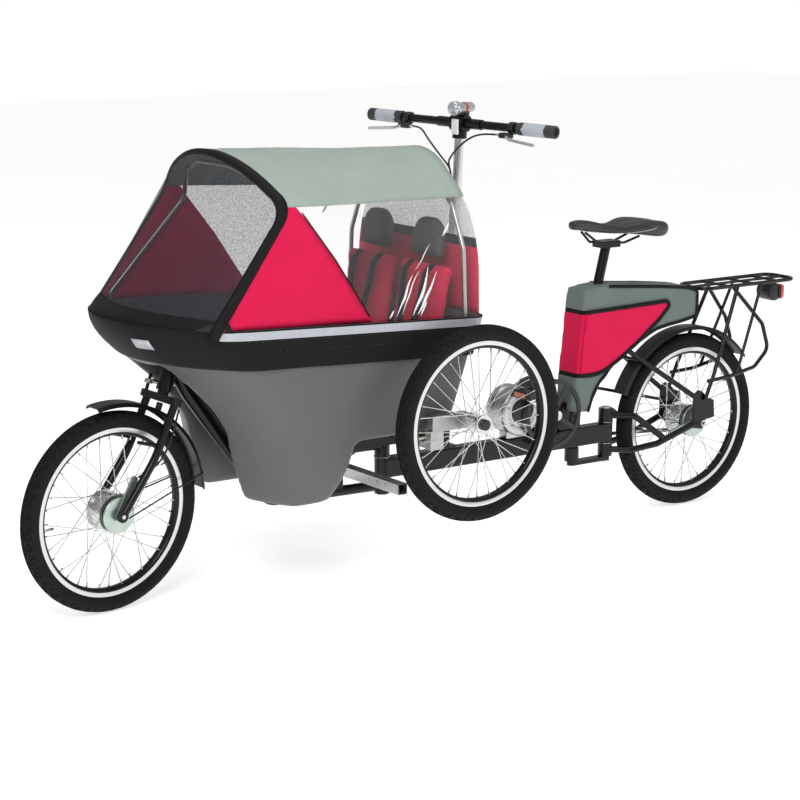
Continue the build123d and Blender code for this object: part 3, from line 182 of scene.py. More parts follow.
def turned_part(bm, profile, steps=32, material=0):
    """Spins (along, radius) points about the Y axis and closes the shape."""
    before = set(bm.faces)
    verts = [bm.verts.new((0, along, radius)) for along, radius in profile]
    edges = [bm.edges.new(pair) for pair in zip(verts, verts[1:])]
    bmesh.ops.spin(bm, geom=verts + edges, cent=(0, 0, 0), axis=(0, 1, 0), angle=2 * pi, steps=steps,
                   use_merge=True)
    bmesh.ops.remove_doubles(bm, verts=[v for v in bm.verts], dist=0.00005)
    for face in set(bm.faces) - before:
        face.material_index = material


for index, (x, z) in enumerate(((-0.777, -0.563), (-0.777, -0.623), (-0.012, -0.563), (-0.012, -0.623))):
    bm = bmesh.new()
    turned_part(bm, ((-0.0006, 0.0203), (-0.0006, 0.0222), (0.0006, 0.0222), (0.0006, 0.0203),
                     (-0.0006, 0.0203)))
    bmesh.ops.transform(bm, matrix=Matrix.Translation((x, 0, z)) @ Matrix.Rotation(radians(90), 4, "X"),
                        verts=bm.verts)
    washer = object_from(bm, f"pivot_washer_{index + 1}", [zinc])
    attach(washer, "frame")


# Side carriers, crossbar and bows: bare extruded and milled aluminium with
# the dull shine of a mill finish.
mill_aluminium = finish_called("mill_finish_aluminium", "#b4b5b4", "#cbccca", 0.38, 30.0, 0.8, 0.02,
                               Metallic=1.0)
coat(mill_aluminium, "axle_crossbar", "wheel_carrier", "canopy_bows")
axle_cap = finish_called("black_nylon_cap", "#1b1b1c", "#232324", 0.45, 20.0, 0.7, 0.03)
for side, body in ((-1, "left"), (1, "right")):
    bm = bmesh.new()
    turned_part(bm, ((0.0302, 0.0138), (0.0358, 0.0138), (0.0366, 0.0128), (0.0370, 0.0090), (0.0371, 0.00001)))
    bmesh.ops.scale(bm, verts=bm.verts, vec=(1, side, 1))
    bmesh.ops.translate(bm, verts=bm.verts, vec=(-0.731, side * 0.3450, -0.417))
    cap = object_from(bm, body + "_axle_cap", [axle_cap])
    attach(cap, "frame")


# Tyres: black vulcanised rubber with a ribbed centre and staggered shoulder
# blocks. The casing is spun from its profile and the blocks are raised.
TYRE_STEPS = 120
tyre_rubber = finish_called("vulcanised_rubber", "#101011", "#171718", 0.7, 90.0, 1.6, 0.08,
                            Specular_IOR_Level=0.18)
tyre_profile = ((-0.0105, 0.2065), (-0.0165, 0.2115), (-0.0215, 0.2195), (-0.0229, 0.2285), (-0.0215, 0.2365),
                (-0.0180, 0.2420), (-0.0120, 0.2462), (-0.0040, 0.2482), (0.0040, 0.2482), (0.0120, 0.2462),
                (0.0180, 0.2420), (0.0215, 0.2365), (0.0229, 0.2285), (0.0215, 0.2195), (0.0165, 0.2115),
                (0.0105, 0.2065))


def wheel_place(kind):
    """Where a wheel stands: its centre, and the fork's turn for the front one."""
    low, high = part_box(kind + "_tyre")
    centre = (Vector(low) + Vector(high)) / 2
    if kind != "front":
        return Matrix.Translation(centre)
    head = Vector((sin(radians(19.5)), 0, cos(radians(19.5))))
    return Matrix.Translation(centre) @ Matrix.Rotation(radians(6.6), 4, head)


for kind in ("front", "rear", "left", "right"):
    bm = bmesh.new()
    turned_part(bm, tyre_profile, TYRE_STEPS)
    blocks = []
    for face in bm.faces:
        middle = face.calc_center_median()
        radius = hypot(middle.x, middle.z)
        around = int(round(atan2(middle.z, middle.x) / (2 * pi) * TYRE_STEPS - 0.5))
        band = 0 if radius > 0.2476 else 1 if radius > 0.2466 else 2 if radius > 0.2440 else 3
        centre_or_edge = band == 0 or band == 3 and radius > 0.2390 and around % 2
        if centre_or_edge or band in (1, 2) and (around + band) % 3:
            blocks.append(face)
    bmesh.ops.inset_individual(bm, faces=blocks, thickness=0.0007, depth=0.0017)
    tyre = object_from(bm, kind + "_tyre_casing", [tyre_rubber])
    tyre.data.transform(wheel_place(kind))
    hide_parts(kind + "_tyre")
    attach(tyre, kind + "_wheel")


# Rims: a black anodised aluminium box section with machined brake tracks, a
# plated nipple for each spoke and a brass valve.
black_anodised = finish_called("black_anodised_aluminium", "#222325", "#2b2c2e", 0.34, 60.0, 1.0, 0.02,
                               Metallic=0.8)
machined = finish_called("machined_brake_track", "#cfcfcd", "#dedfdd", 0.3, 40.0, 0.6, 0.02, Metallic=0.85)
rim_profile = ((-0.0108, 0.2064), (-0.0110, 0.2106), (-0.0134, 0.2112), (-0.0135, 0.2105), (-0.0128, 0.1985),
               (-0.0120, 0.1965), (-0.0090, 0.1915), (-0.0060, 0.1901), (0.0060, 0.1901), (0.0090, 0.1915),
               (0.0120, 0.1965), (0.0128, 0.1985), (0.0135, 0.2105), (0.0134, 0.2112), (0.0110, 0.2106),
               (0.0108, 0.2064))
SPOKES = 36
inward = Matrix.Rotation(radians(-90), 4, "Y")


def rod(bm, matrix, foot_radius, tip_radius, length, segments):
    """A closed rod or cone along the Z axis of its matrix."""
    return bmesh.ops.create_cone(bm, cap_ends=True, segments=segments, radius1=foot_radius, radius2=tip_radius,
                                 depth=length, matrix=matrix)["verts"]


def painted(verts, index):
    """Gives the faces round some vertices one of their piece's materials."""
    for face in {face for vert in verts for face in vert.link_faces}:
        face.material_index = index


for kind in ("front", "rear", "left", "right"):
    bm = bmesh.new()
    turned_part(bm, rim_profile, 96)
    for face in bm.faces:
        middle = face.calc_center_median()
        if 0.1975 < hypot(middle.x, middle.z) < 0.2110 and abs(middle.y) > 0.0125:
            face.material_index = 1
    for spoke in range(SPOKES):
        turn = Matrix.Rotation(-2 * pi * spoke / SPOKES, 4, "Y")
        made = rod(bm, turn @ Matrix.Translation((0.1852, 0.0036 * (1 if spoke % 2 else -1), 0))
                   @ inward, 0.0021, 0.0017, 0.012, 6)
        painted(made, 2)
    turn = Matrix.Rotation(-2 * pi * 18.5 / SPOKES, 4, "Y")
    made = rod(bm, turn @ Matrix.Translation((0.1772, 0, 0)) @ inward, 0.0040, 0.0032, 0.030, 12)
    painted(made, 2)
    rim = object_from(bm, kind + "_rim_section", [black_anodised, machined, zinc])
    rim.data.transform(wheel_place(kind))
    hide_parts(kind + "_rim")
    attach(rim, kind + "_wheel")


# Hubs, spokes and brakes: polished aluminium shells on stainless spokes, and
# drum covers with a pale green anodised tint.
polished_hub = finish_called("polished_hub_aluminium", "#bcbebd", "#dcdddc", 0.22, 12.0, 0.8, 0.01,
                             Metallic=1.0)
coat(polished_hub, "front_hub", "rear_hub", "left_hub", "right_hub")
drum_plate = finish_called("anodised_drum_cover", "#a9b8ae", "#c3cfc7", 0.32, 25.0, 0.8, 0.02, Metallic=0.85)
coat(drum_plate, "front_brake", "rear_brake")


# Steering column: chromed steel tube, bright enough to mirror the room.
chrome = finish_called("chromed_steel", "#d9dadb", "#e4e5e6", 0.08, 60.0, 2.0, 0.004, Metallic=1.0)
coat(chrome, "steering_column")


# Chain: oiled steel, its links darkened by grease.
oiled_chain = finish_called("oiled_chain_steel", "#3a3936", "#57544d", 0.34, 9.0, 4.0, 0.5, Metallic=0.9)
coat(oiled_chain, "chain")


# Motor: a cast aluminium case ahead of the crank, on a foot over the beam,
# with a black plastic side cover and six plated screws.
black_abs = finish_called("black_abs", "#151516", "#1e1e1f", 0.4, 25.0, 0.8, 0.03)
cast_aluminium = finish_called("cast_aluminium", "#b3b4b3", "#cacbca", 0.34, 22.0, 1.2, 0.05, Metallic=1.0)
MOTOR_X, MOTOR_Z = -0.343, -0.490
MOTOR_SCREWS = 6
lay_across = Matrix.Rotation(radians(90), 4, "X")


def box_at(bm, place, size, turn=Matrix()):
    """A box about a place, turned before it is put there."""
    return bmesh.ops.create_cube(bm, size=1.0, matrix=Matrix.Translation(place) @ turn
                                 @ Matrix.Diagonal((*size, 1.0)))["verts"]


def edges_of(verts):
    """The edges that meet at some vertices."""
    return list({edge for vert in verts for edge in vert.link_edges})


def eased(bm, edges, offset, segments):
    """Rounds edges and returns the faces that this makes."""
    return bmesh.ops.bevel(bm, geom=edges, offset=offset, segments=segments, profile=0.5, affect="EDGES",
                           material=-1)["faces"]


bm = bmesh.new()
turned_part(bm, ((-0.0420, 0.00001), (-0.0420, 0.0340), (-0.0412, 0.0352), (-0.0395, 0.0358)), 64, 1)
turned_part(bm, ((-0.0395, 0.0358), (-0.0395, 0.0420), (-0.0415, 0.0450), (-0.0415, 0.0590), (-0.0390, 0.0630),
                 (-0.0340, 0.0658), (-0.0100, 0.0660), (-0.0090, 0.0650), (0.0090, 0.0650), (0.0100, 0.0660),
                 (0.0340, 0.0658), (0.0410, 0.0600), (0.0420, 0.0400), (0.0420, 0.00001)), 64, 0)
for screw in range(MOTOR_SCREWS):
    turn = Matrix.Rotation(2 * pi * screw / MOTOR_SCREWS + 0.3, 4, "Y")
    made = rod(bm, turn @ Matrix.Translation((0.0505, -0.0420, 0)) @ lay_across, 0.0036, 0.0036, 0.003, 12)
    painted(made, 2)
bmesh.ops.translate(bm, verts=bm.verts, vec=(MOTOR_X, 0, MOTOR_Z))
foot = box_at(bm, (MOTOR_X, 0, -0.5535), (0.070, 0.036, 0.026))
eased(bm, edges_of(foot), 0.003, 2)
motor = object_from(bm, "motor_case", [cast_aluminium, black_abs, zinc])
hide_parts("drive_motor")
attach(motor, "frame")


# Crank set: forged and polished aluminium arms on a steel spindle, a black
# chain wheel on the right and a black guard ring on the left.
CRANK = Vector((-0.245, 0, -0.507))
CRANK_ANGLE = radians(148)
bm = bmesh.new()
for side in (-1, 1):
    angle = CRANK_ANGLE + (pi if side > 0 else 0)
    verts = box_at(bm, (0, 0, 0), (0.186, 0.011, 0.024))
    for vert in verts:
        if vert.co.x > 0:
            vert.co.z *= 0.82
            vert.co.y *= 0.9
    edges = edges_of(verts)
    corners = [e for e in edges if abs(e.verts[0].co.y - e.verts[1].co.y) > 0.005]
    rounded = eased(bm, corners, 0.0093, 6)
    whole = list({v for f in rounded for v in f.verts} | {v for v in verts if v.is_valid})
    bmesh.ops.translate(bm, verts=whole, vec=(0.0825, 0, 0))
    bmesh.ops.rotate(bm, verts=whole, cent=(0, 0, 0), matrix=Matrix.Rotation(-angle, 3, "Y"))
    bmesh.ops.translate(bm, verts=whole, vec=CRANK + Vector((0, side * 0.066, 0)))
    rod(bm, Matrix.Translation(CRANK + Vector((0, side * 0.068, 0)))
        @ Matrix.Rotation(radians(90 * -side), 4, "X"), 0.0150, 0.0130, 0.014, 32)
rod(bm, Matrix.Translation(CRANK) @ lay_across, 0.008, 0.008, 0.136, 24)
arms = object_from(bm, "crank_arms", [polished_hub], smooth=False)
bm = bmesh.new()
turned_part(bm, ((-0.0562, 0.0835), (-0.0562, 0.0955), (-0.0550, 0.0962), (-0.0530, 0.0962), (-0.0520, 0.0950),
                 (-0.0520, 0.0835), (-0.0562, 0.0835)), 96)
turned_part(bm, ((0.0442, 0.0230), (0.0442, 0.0815), (0.0478, 0.0815), (0.0478, 0.0230), (0.0442, 0.0230)), 96)
for spoke in range(4):
    turn = Matrix.Rotation(-(CRANK_ANGLE + pi / 2 * spoke), 4, "Y")
    for y, start in ((-0.054, 0.012), (0.046, 0.006)):
        bmesh.ops.create_cube(bm, size=1.0, matrix=turn @ Matrix.Translation((start / 2 + 0.043, y, 0))
                                     @ Matrix.Diagonal((0.086 - start, 0.0032, 0.013, 1.0)))
for tooth in range(44):
    turn = Matrix.Rotation(2 * pi * tooth / 44, 4, "Y")
    rod(bm, turn @ Matrix.Translation((0.0838, 0.046, 0)) @ Matrix.Rotation(radians(90), 4, "Y")
        @ Matrix.Diagonal((0.9, 0.30, 1.0, 1.0)) @ Matrix.Rotation(radians(45), 4, "Z"), 0.0052, 0.0026,
        0.0060, 4)
bmesh.ops.translate(bm, verts=bm.verts, vec=CRANK)
guard = object_from(bm, "guard_ring_and_chain_wheel", [black_abs], smooth=False)
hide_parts("crankset")
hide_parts("crankset")
for piece, slot in ((arms, "bright_alloy"), (guard, "black_plastic")):
    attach(piece, "crank")


# Pedals: a moulded black cage round a steel pin, with rubber treads and an
# amber reflector at each long edge.
amber_acrylic = finish_called("amber_reflector_acrylic", "#b4480e", "#d86a1c", 0.12, 6.0, 2.2, 0.5,
                              Coat_Weight=0.6, Coat_Roughness=0.05)
for side, body in ((-1, "left"), (1, "right")):
    angle = CRANK_ANGLE + (pi if side > 0 else 0)
    end = CRANK + Vector((0.165 * cos(angle), side * 0.128, 0.165 * sin(angle)))
    bm = bmesh.new()
    for x in (-0.033, 0.033):
        box_at(bm, (x, 0, 0), (0.010, 0.084, 0.018))
    for y in (-0.038, 0.0, 0.038):
        box_at(bm, (0, y, 0), (0.060, 0.008, 0.016))
    eased(bm, bm.edges[:], 0.0015, 2)
    turned_part(bm, ((-0.040, 0.00001), (-0.040, 0.0085), (0.040, 0.0085), (0.040, 0.00001)), 20, 0)
    for x in (-0.033, 0.033):
        for step in range(7):
            box_at(bm, (x, -0.036 + 0.012 * step, 0), (0.008, 0.005, 0.0212))
        made = box_at(bm, (x * 1.17, 0, 0), (0.0024, 0.046, 0.0125))
        painted(made, 1)
    made = rod(bm, Matrix.Translation((0, -side * 0.0545, 0)) @ lay_across, 0.0060, 0.0060, 0.026, 16)
    painted(made, 2)
    bmesh.ops.translate(bm, verts=bm.verts, vec=end)
    pedal = object_from(bm, body + "_pedal_cage", [black_abs, amber_acrylic, zinc], smooth=False)
    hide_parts("pedal_" + body)
    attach(pedal, body + "_pedal")


# Mudguards and light bodies: black glass-filled nylon, satin from its mould.
black_nylon = finish_called("black_nylon", "#0c0c0d", "#131314", 0.36, 40.0, 0.8, 0.02)
coat(black_nylon, "front_mudguard", "rear_mudguard")


# Cables: steel wire in glossy black PVC outers, held at both ends.
black_pvc = finish_called("black_pvc", "#0e0e0f", "#161617", 0.28, 30.0, 0.8, 0.01)
coat(black_pvc, "bar_cables", "fork_cable")


# Grips: dark rubber with a soft light grey palm pad let into each, ribbed
# beside the pad.
grip_rubber = finish_called("ribbed_grip_rubber", "#2f3134", "#3a3c3f", 0.66, 20.0, 2.4, 0.5)
palm_gel = finish_called("palm_gel_rubber", "#a9b0b8", "#b7bdc4", 0.55, 20.0, 1.2, 0.1)
coat(grip_rubber, "grips")
column_dir = Vector((sin(radians(3.2)), 0, cos(radians(3.2))))
BAR_CENTRE = Vector((-0.866 + 0.858 * tan(radians(3.2)) + 0.285, 0, 0.293))
bar_turn = Matrix.Translation(BAR_CENTRE) @ Matrix.Rotation(radians(10.9), 4, column_dir)
for side, body in ((-1, "left"), (1, "right")):
    bm = bmesh.new()
    turned_part(bm, ((0.2200, 0.0166), (0.2240, 0.0172), (0.2900, 0.0172), (0.2940, 0.0166),
                     (0.2200, 0.0160)), 48)
    bmesh.ops.scale(bm, verts=bm.verts, vec=(1, side, 1))
    remove = []
    for face in bm.faces:
        middle = face.calc_center_median()
        turn = atan2(middle.z, -middle.x)
        across = (abs(middle.y) - 0.257) / 0.036
        if (turn / 1.35) ** 2 + across ** 2 > 1.0:
            remove.append(face)
    bmesh.ops.delete(bm, geom=remove, context="FACES")
    pad = object_from(bm, body + "_palm_pad", [palm_gel])
    pad.data.transform(bar_turn)
    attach(pad, "column")


# Brake levers: black clamps and bodies, with pale anodised two-finger blades
# and a silver barrel where each cable leaves.
lever_blade = finish_called("silver_anodised_aluminium", "#c6c8cb", "#d8dadc", 0.3, 30.0, 0.8, 0.01,
                            Metallic=0.9)
for side, body in ((-1, "left"), (1, "right")):
    bm = bmesh.new()
    turned_part(bm, ((0.173, 0.0111), (0.173, 0.0155), (0.1745, 0.0162), (0.1875, 0.0162), (0.189, 0.0155),
                     (0.189, 0.0111), (0.173, 0.0111)), 32)
    made = box_at(bm, (-0.022, 0.176, -0.018), (0.022, 0.036, 0.014))
    eased(bm, edges_of(made), 0.004, 3)
    blade_path = ((-0.020, 0.172, -0.015), (-0.032, 0.184, -0.020), (-0.040, 0.200, -0.025),
                  (-0.042, 0.230, -0.028),
                  (-0.043, 0.262, -0.031), (-0.044, 0.288, -0.033))
    ring = [bm.verts.new(Vector(blade_path[0]) + Vector(offset)) for offset in
            ((0, 0, 0.0045), (-0.003, 0, 0.003), (-0.003, 0, -0.003), (0, 0, -0.0045), (0.003, 0, -0.003),
             (0.003, 0, 0.003))]
    face = bm.faces.new(ring)
    made_faces = [face]
    for first, second in zip(blade_path, blade_path[1:]):
        grown = bmesh.ops.extrude_face_region(bm, geom=[face])["geom"]
        face = next(item for item in grown if isinstance(item, bmesh.types.BMFace))
        bmesh.ops.translate(bm, verts=face.verts[:], vec=Vector(second) - Vector(first))
        made_faces += [face] + [f for e in face.edges for f in e.link_faces]
    for blade_face in set(made_faces):
        blade_face.material_index = 1
    made = rod(bm, Matrix.Translation((-0.022, 0.1515, -0.018)) @ lay_across, 0.0040, 0.0034, 0.014, 16)
    painted(made, 1)
    bmesh.ops.scale(bm, verts=bm.verts, vec=(1, side, 1))
    lever = object_from(bm, body + "_brake_lever", [black_abs, lever_blade], smooth=False)
    lever.data.transform(bar_turn)
    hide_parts("brake_levers")
    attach(lever, "column")


# Headlight: a clear domed lens before a silvered cup, on a smoky body with
# red trim, strapped over the stem clamp with a pale bracket below the bar.
clear_lens = finish_called("clear_polycarbonate", "#8f9498", "#d8dbde", 0.08, 4.0, 3.0, 0.5, Metallic=0.5,
                           Coat_Weight=0.8,
                           Coat_Roughness=0.03)
smoky_plastic = finish_called("smoked_polycarbonate", "#8d8a8c", "#b2b0b3", 0.16, 14.0, 2.0, 0.2,
                              Coat_Weight=0.6)
red_trim = finish_called("red_polycarbonate", "#a3171c", "#c2262a", 0.15, 12.0, 1.5, 0.1, Coat_Weight=0.7)
pale_plastic = finish_called("pale_reflector_plastic", "#dfe2e8", "#f0f1f4", 0.22, 9.0, 2.5, 0.3,
                             Coat_Weight=0.5)
bm = bmesh.new()
turned_part(bm, ((0.0480, 0.00001), (0.0476, 0.0080), (0.0455, 0.0140), (0.0420, 0.0172)), 40, 0)
turned_part(bm, ((0.0420, 0.0172), (0.0400, 0.0182), (0.0250, 0.0182), (0.0235, 0.0170)), 40, 0)
turned_part(bm, ((0.0235, 0.0170), (0.0215, 0.0150), (0.0200, 0.0142)), 40, 2)
turned_part(bm, ((0.0200, 0.0142), (-0.0280, 0.0136), (-0.0335, 0.0110), (-0.0340, 0.00001)), 40, 1)
turned_part(bm, ((0.0020, 0.0141), (0.0020, 0.0147), (-0.0050, 0.0147), (-0.0050, 0.0141)), 40, 2)
bmesh.ops.rotate(bm, verts=bm.verts, cent=(0, 0, 0), matrix=Matrix.Rotation(radians(90), 3, "Z"))
bmesh.ops.translate(bm, verts=bm.verts, vec=(0, -0.010, 0.040))
block = box_at(bm, (0, -0.010, 0.0285), (0.026, 0.020, 0.015))
painted(block, 3)
plate = box_at(bm, (-0.0265, -0.006, -0.008), (0.006, 0.022, 0.040))
eased(bm, edges_of(plate), 0.002, 2)
for face in bm.faces:
    middle = face.calc_center_median()
    if middle.x < -0.0225 and middle.z < 0.0125:
        face.material_index = 4
lamp_body = object_from(bm, "headlight_housing", [clear_lens, smoky_plastic, red_trim, black_abs, pale_plastic])
lamp_body.data.transform(bar_turn)
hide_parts("headlight")
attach(lamp_body, "column")


# Tail light: a round black housing under the rack with a wrapped red lens.
red_lens = finish_called("red_lens_acrylic", "#c3271f", "#de3a2e", 0.14, 8.0, 3.0, 0.4, Coat_Weight=0.7,
                         Coat_Roughness=0.04)
bm = bmesh.new()
turned_part(bm, ((-0.0280, 0.00001), (-0.0285, 0.0200), (-0.0260, 0.0250), (-0.0200, 0.0260), (0.0200, 0.0260),
                 (0.0260, 0.0250), (0.0285, 0.0200), (0.0280, 0.00001)), 40, 0)
bmesh.ops.translate(bm, verts=bm.verts, vec=(0.607, 0, -0.250))
lens = box_at(bm, (0.629, 0, -0.250), (0.021, 0.069, 0.043))
eased(bm, edges_of(lens), 0.009, 4)
for face in bm.faces:
    if face.calc_center_median().x > 0.6255:
        face.material_index = 1
rod(bm, Matrix.Translation((0.607, 0, -0.2225)), 0.005, 0.005, 0.016, 16)
tail = object_from(bm, "tail_light_housing", [black_nylon, red_lens])
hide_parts("tail_light")
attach(tail, "frame")


# Saddle: a stitched black vinyl cover over foam, remeshed from its solid and
# smoothed, with a pale piping line along each side.
saddle_vinyl = finish_called("embossed_black_vinyl", "#232325", "#2d2d30", 0.46, 45.0, 1.6, 0.08,
                             Coat_Weight=0.1)
piping = finish_called("grey_piping_vinyl", "#a4a5aa", "#b7b8bc", 0.4, 20.0, 1.0, 0.02)


def remesh(piece, voxel):
    """Gives a closed form an even skin, with faces the size of the voxel."""
    modifier = piece.modifiers.new("even", "REMESH")
    modifier.mode = "VOXEL"
    modifier.voxel_size = voxel


def baked(piece):
    """A rough piece's mesh with its modifiers applied, for more shaping. The piece goes."""
    mesh = bpy.data.meshes.new_from_object(piece.evaluated_get(bpy.context.evaluated_depsgraph_get()))
    bpy.data.objects.remove(piece)
    bm = bmesh.new()
    bm.from_mesh(mesh)
    bpy.data.meshes.remove(mesh)
    return bm


def smoothed(bm, rounds):
    for _ in range(rounds):
        bmesh.ops.smooth_vert(bm, verts=bm.verts, factor=0.5, use_axis_x=True, use_axis_y=True, use_axis_z=True)


def ribbon(bm, rows):
    """Joins rows of three vertices into a strip two faces wide."""
    for (a, b, c), (d, e, f) in zip(rows, rows[1:]):
        bm.faces.new((a, b, e, d))
        bm.faces.new((b, c, f, e))


def walled(piece, thickness, offset=-1.0):
    """Gives a sheet its thickness, all inside the drawn face unless the offset says otherwise."""
    wall = piece.modifiers.new("thickness", "SOLIDIFY")
    wall.thickness = thickness
    wall.offset = offset


bm = bmesh.new()
bm.from_mesh(nodes["saddle"].data)
bmesh.ops.remove_doubles(bm, verts=bm.verts, dist=0.00002)
rough = object_from(bm, "saddle_rough", [])
remesh(rough, 0.005)
bm = baked(rough)
smoothed(bm, 6)
for vert in bm.verts:
    if vert.co.z > -0.022:
        behind = min(1.0, max(0.0, (vert.co.x + 0.10) / 0.06))
        vert.co.z -= 0.0035 * 2.7 ** -((vert.co.y / 0.012) ** 2) * behind
        vert.co.z -= 0.010 * 2.7 ** -(((vert.co.x + 0.01) / 0.055) ** 2)
saddle = object_from(bm, "saddle_cover", [saddle_vinyl])
finer = saddle.modifiers.new("finer", "SUBSURF")
finer.levels = finer.render_levels = 1
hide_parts("saddle")
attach(saddle, "frame")
for side, body in ((-1, "left"), (1, "right")):
    bm = bmesh.new()
    rows = []
    for step in range(25):
        x = -0.110 + 0.205 * step / 24
        reach = Vector((x, side * 0.2, -0.020 - 0.012 * sin(pi * step / 24)))
        struck, spot, normal, _ = saddle.ray_cast(reach, Vector((0, -side, 0)))
        if struck:
            rows.append([bm.verts.new(spot + Vector((0, side * 0.0004, 0.0012))),
                         bm.verts.new(spot + Vector((0, side * 0.0016, 0))),
                         bm.verts.new(spot + Vector((0, side * 0.0004, -0.0012)))])
    ribbon(bm, rows)
    line = object_from(bm, body + "_saddle_piping", [piping])
    walled(line, 0.0006)
    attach(line, "frame")


# Frame bag: a sewn cover of grey polyester that hangs over the mast and the
# mudguard, with a crimson panel let into each side and black bound edges.
woven = {}
for name, dark, light in (("sage_polyester", "#98a59b", "#a6b2a9"), ("crimson_polyester", "#cb0c46", "#de124b"),
                          ("black_polyester", "#08090a", "#101112"), ("grey_polyester", "#657170", "#717d7b"),
                          ("charcoal_polyester", "#3b3c3b", "#4a4b49")):
    # Plain weave under a matt coating. A thread every 0.5 mm is drawn six times as coarse, so that it shows.
    cloth = finish_called(name, dark, light, 0.7, 60.0, 1.0, 0.02, Sheen_Weight=0.03, Sheen_Roughness=0.5,
                          Specular_IOR_Level=0.2)
    place = add_node(cloth, "TexCoord").outputs["Object"]
    warp = add_node(cloth, "TexWave", {"bands_direction": "X"}, Vector=place, Scale=105.0, Distortion=1.2)
    weft = add_node(cloth, "TexWave", {"bands_direction": "Z"}, Vector=place, Scale=105.0, Distortion=1.2)
    threads = add_node(cloth, "MixRGB", {"blend_type": "MULTIPLY"}, Fac=1.0, Color1=warp.outputs["Color"],
                       Color2=weft.outputs["Color"])
    raised = add_node(cloth, "Bump", Height=threads.outputs["Color"], Distance=0.0004, Strength=0.6)
    into(cloth, Normal=raised.outputs["Normal"])
    woven[name] = cloth

bag_outline = ((-0.130, -0.178), (-0.045, -0.168), (0.140, -0.184), (0.245, -0.196), (0.289, -0.210),
               (0.288, -0.292), (0.225, -0.302), (0.135, -0.314), (0.055, -0.350), (-0.015, -0.392),
               (-0.075, -0.448), (-0.111, -0.520), (-0.167, -0.514))
panel_outline = ((-0.126, -0.240), (0.171, -0.233), (0.180, -0.247), (0.141, -0.281), (0.093, -0.316),
                 (0.057, -0.343), (0.021, -0.365), (-0.014, -0.386), (-0.050, -0.404), (-0.080, -0.413),
                 (-0.110, -0.416), (-0.144, -0.413))


def cut(bm, place, normal, **clearing):
    """Cuts a whole form along a plane."""
    bmesh.ops.bisect_plane(bm, geom=bm.verts[:] + bm.edges[:] + bm.faces[:], plane_co=place, plane_no=normal,
                           **clearing)


def slab(outline, near, width):
    """A closed form of one width between two upright planes."""
    bm = bmesh.new()
    face = bm.faces.new([bm.verts.new((x, near, z)) for x, z in outline])
    grown = bmesh.ops.extrude_face_region(bm, geom=[face])["geom"]
    bmesh.ops.translate(bm, verts=[v for v in grown if isinstance(v, bmesh.types.BMVert)], vec=(0, width, 0))
    return bm


def bag_bulge(x, z):
    """How far the bag's side stands out past its flat cut, in soft vertical folds."""
    low = max(0.0, min(1.0, (-0.36 - z) / 0.12))
    folds = sin(x * 210.0) * 0.0016 * low + sin(x * 74.0 + z * 30.0) * 0.0009
    return 0.0012 + folds + noise.noise(Vector((x * 14.0, 0.0, z * 14.0))) * 0.0012


def flat_piece(bm, outline, y, cell):
    """An upright sheet cut to an outline, divided evenly enough to bend."""
    xs, zs = [p[0] for p in outline], [p[1] for p in outline]
    across, up = int((max(xs) - min(xs)) / cell) + 1, int((max(zs) - min(zs)) / cell) + 1
    verts = [bm.verts.new((x, y, z)) for x, z in outline]
    bm.faces.new(verts)
    for count, low, high, normal in ((across, min(xs), max(xs), (1, 0, 0)), (up, min(zs), max(zs), (0, 0, 1))):
        for step in range(1, count):
            place = low + (high - low) * step / count
            point = (place, 0, 0) if normal[0] else (0, 0, place)
            cut(bm, point, normal)


def binding_along(outline, lift, width, inset=0.0):
    """A flat binding sewn along an outline on the bag's side, a lift above its bulge."""
    points = []
    for first, second in zip(outline, outline[1:]):
        first, second = Vector((first[0], 0, first[1])), Vector((second[0], 0, second[1]))
        count = max(1, int((second - first).length / 0.008))
        points += [first.lerp(second, step / count) for step in range(count)]
    points.append(second)
    for _ in range(2):
        points[1:-1] = [(before + 2 * here + after) / 4
                        for before, here, after in zip(points, points[1:], points[2:])]
    bm = bmesh.new()
    rows = []
    for before, here, after in zip([points[0]] + points, points, points[1:] + [points[-1]]):
        along = (after - before).normalized()
        outward = Vector((-along.z, 0, along.x))
        row = []
        for share in (-0.5, 0.0, 0.5):
            spot = here + outward * (width * share - inset)
            row.append(bm.verts.new((spot.x, BAG_HALF + lift + bag_bulge(spot.x, spot.z), spot.z)))
        rows.append(row)
    ribbon(bm, rows)
    return bm


BAG_HALF = 0.041
rough = object_from(slab(bag_outline, -BAG_HALF + 0.001, 2 * BAG_HALF - 0.002), "bag_rough", [])
remesh(rough, 0.006)
bm = baked(rough)
smoothed(bm, 3)
for vert in bm.verts:
    if abs(vert.co.y) > BAG_HALF - 0.006:
        vert.co.y += (1 if vert.co.y > 0 else -1) * bag_bulge(vert.co.x, vert.co.z)
    elif vert.co.z > -0.22:
        vert.co.z -= 0.004 * cos(vert.co.y / BAG_HALF * pi / 2) * sin((vert.co.x + 0.13) / 0.42 * pi)
for height in (-0.234, -0.246, -0.407, -0.419):
    cut(bm, (0, 0, height), (0, 0, 1))
for face in bm.faces:
    x, y, z = face.calc_center_median()
    if x < -0.118 + (z + 0.24) * 0.11 and -0.419 < z < -0.234:
        face.material_index = 2 if z > -0.246 or z < -0.407 else 1
bag = object_from(bm, "frame_bag_cover", [woven["grey_polyester"], woven["crimson_polyester"],
                                          woven["black_polyester"]])
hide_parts("frame_bag")
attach(bag, "frame")
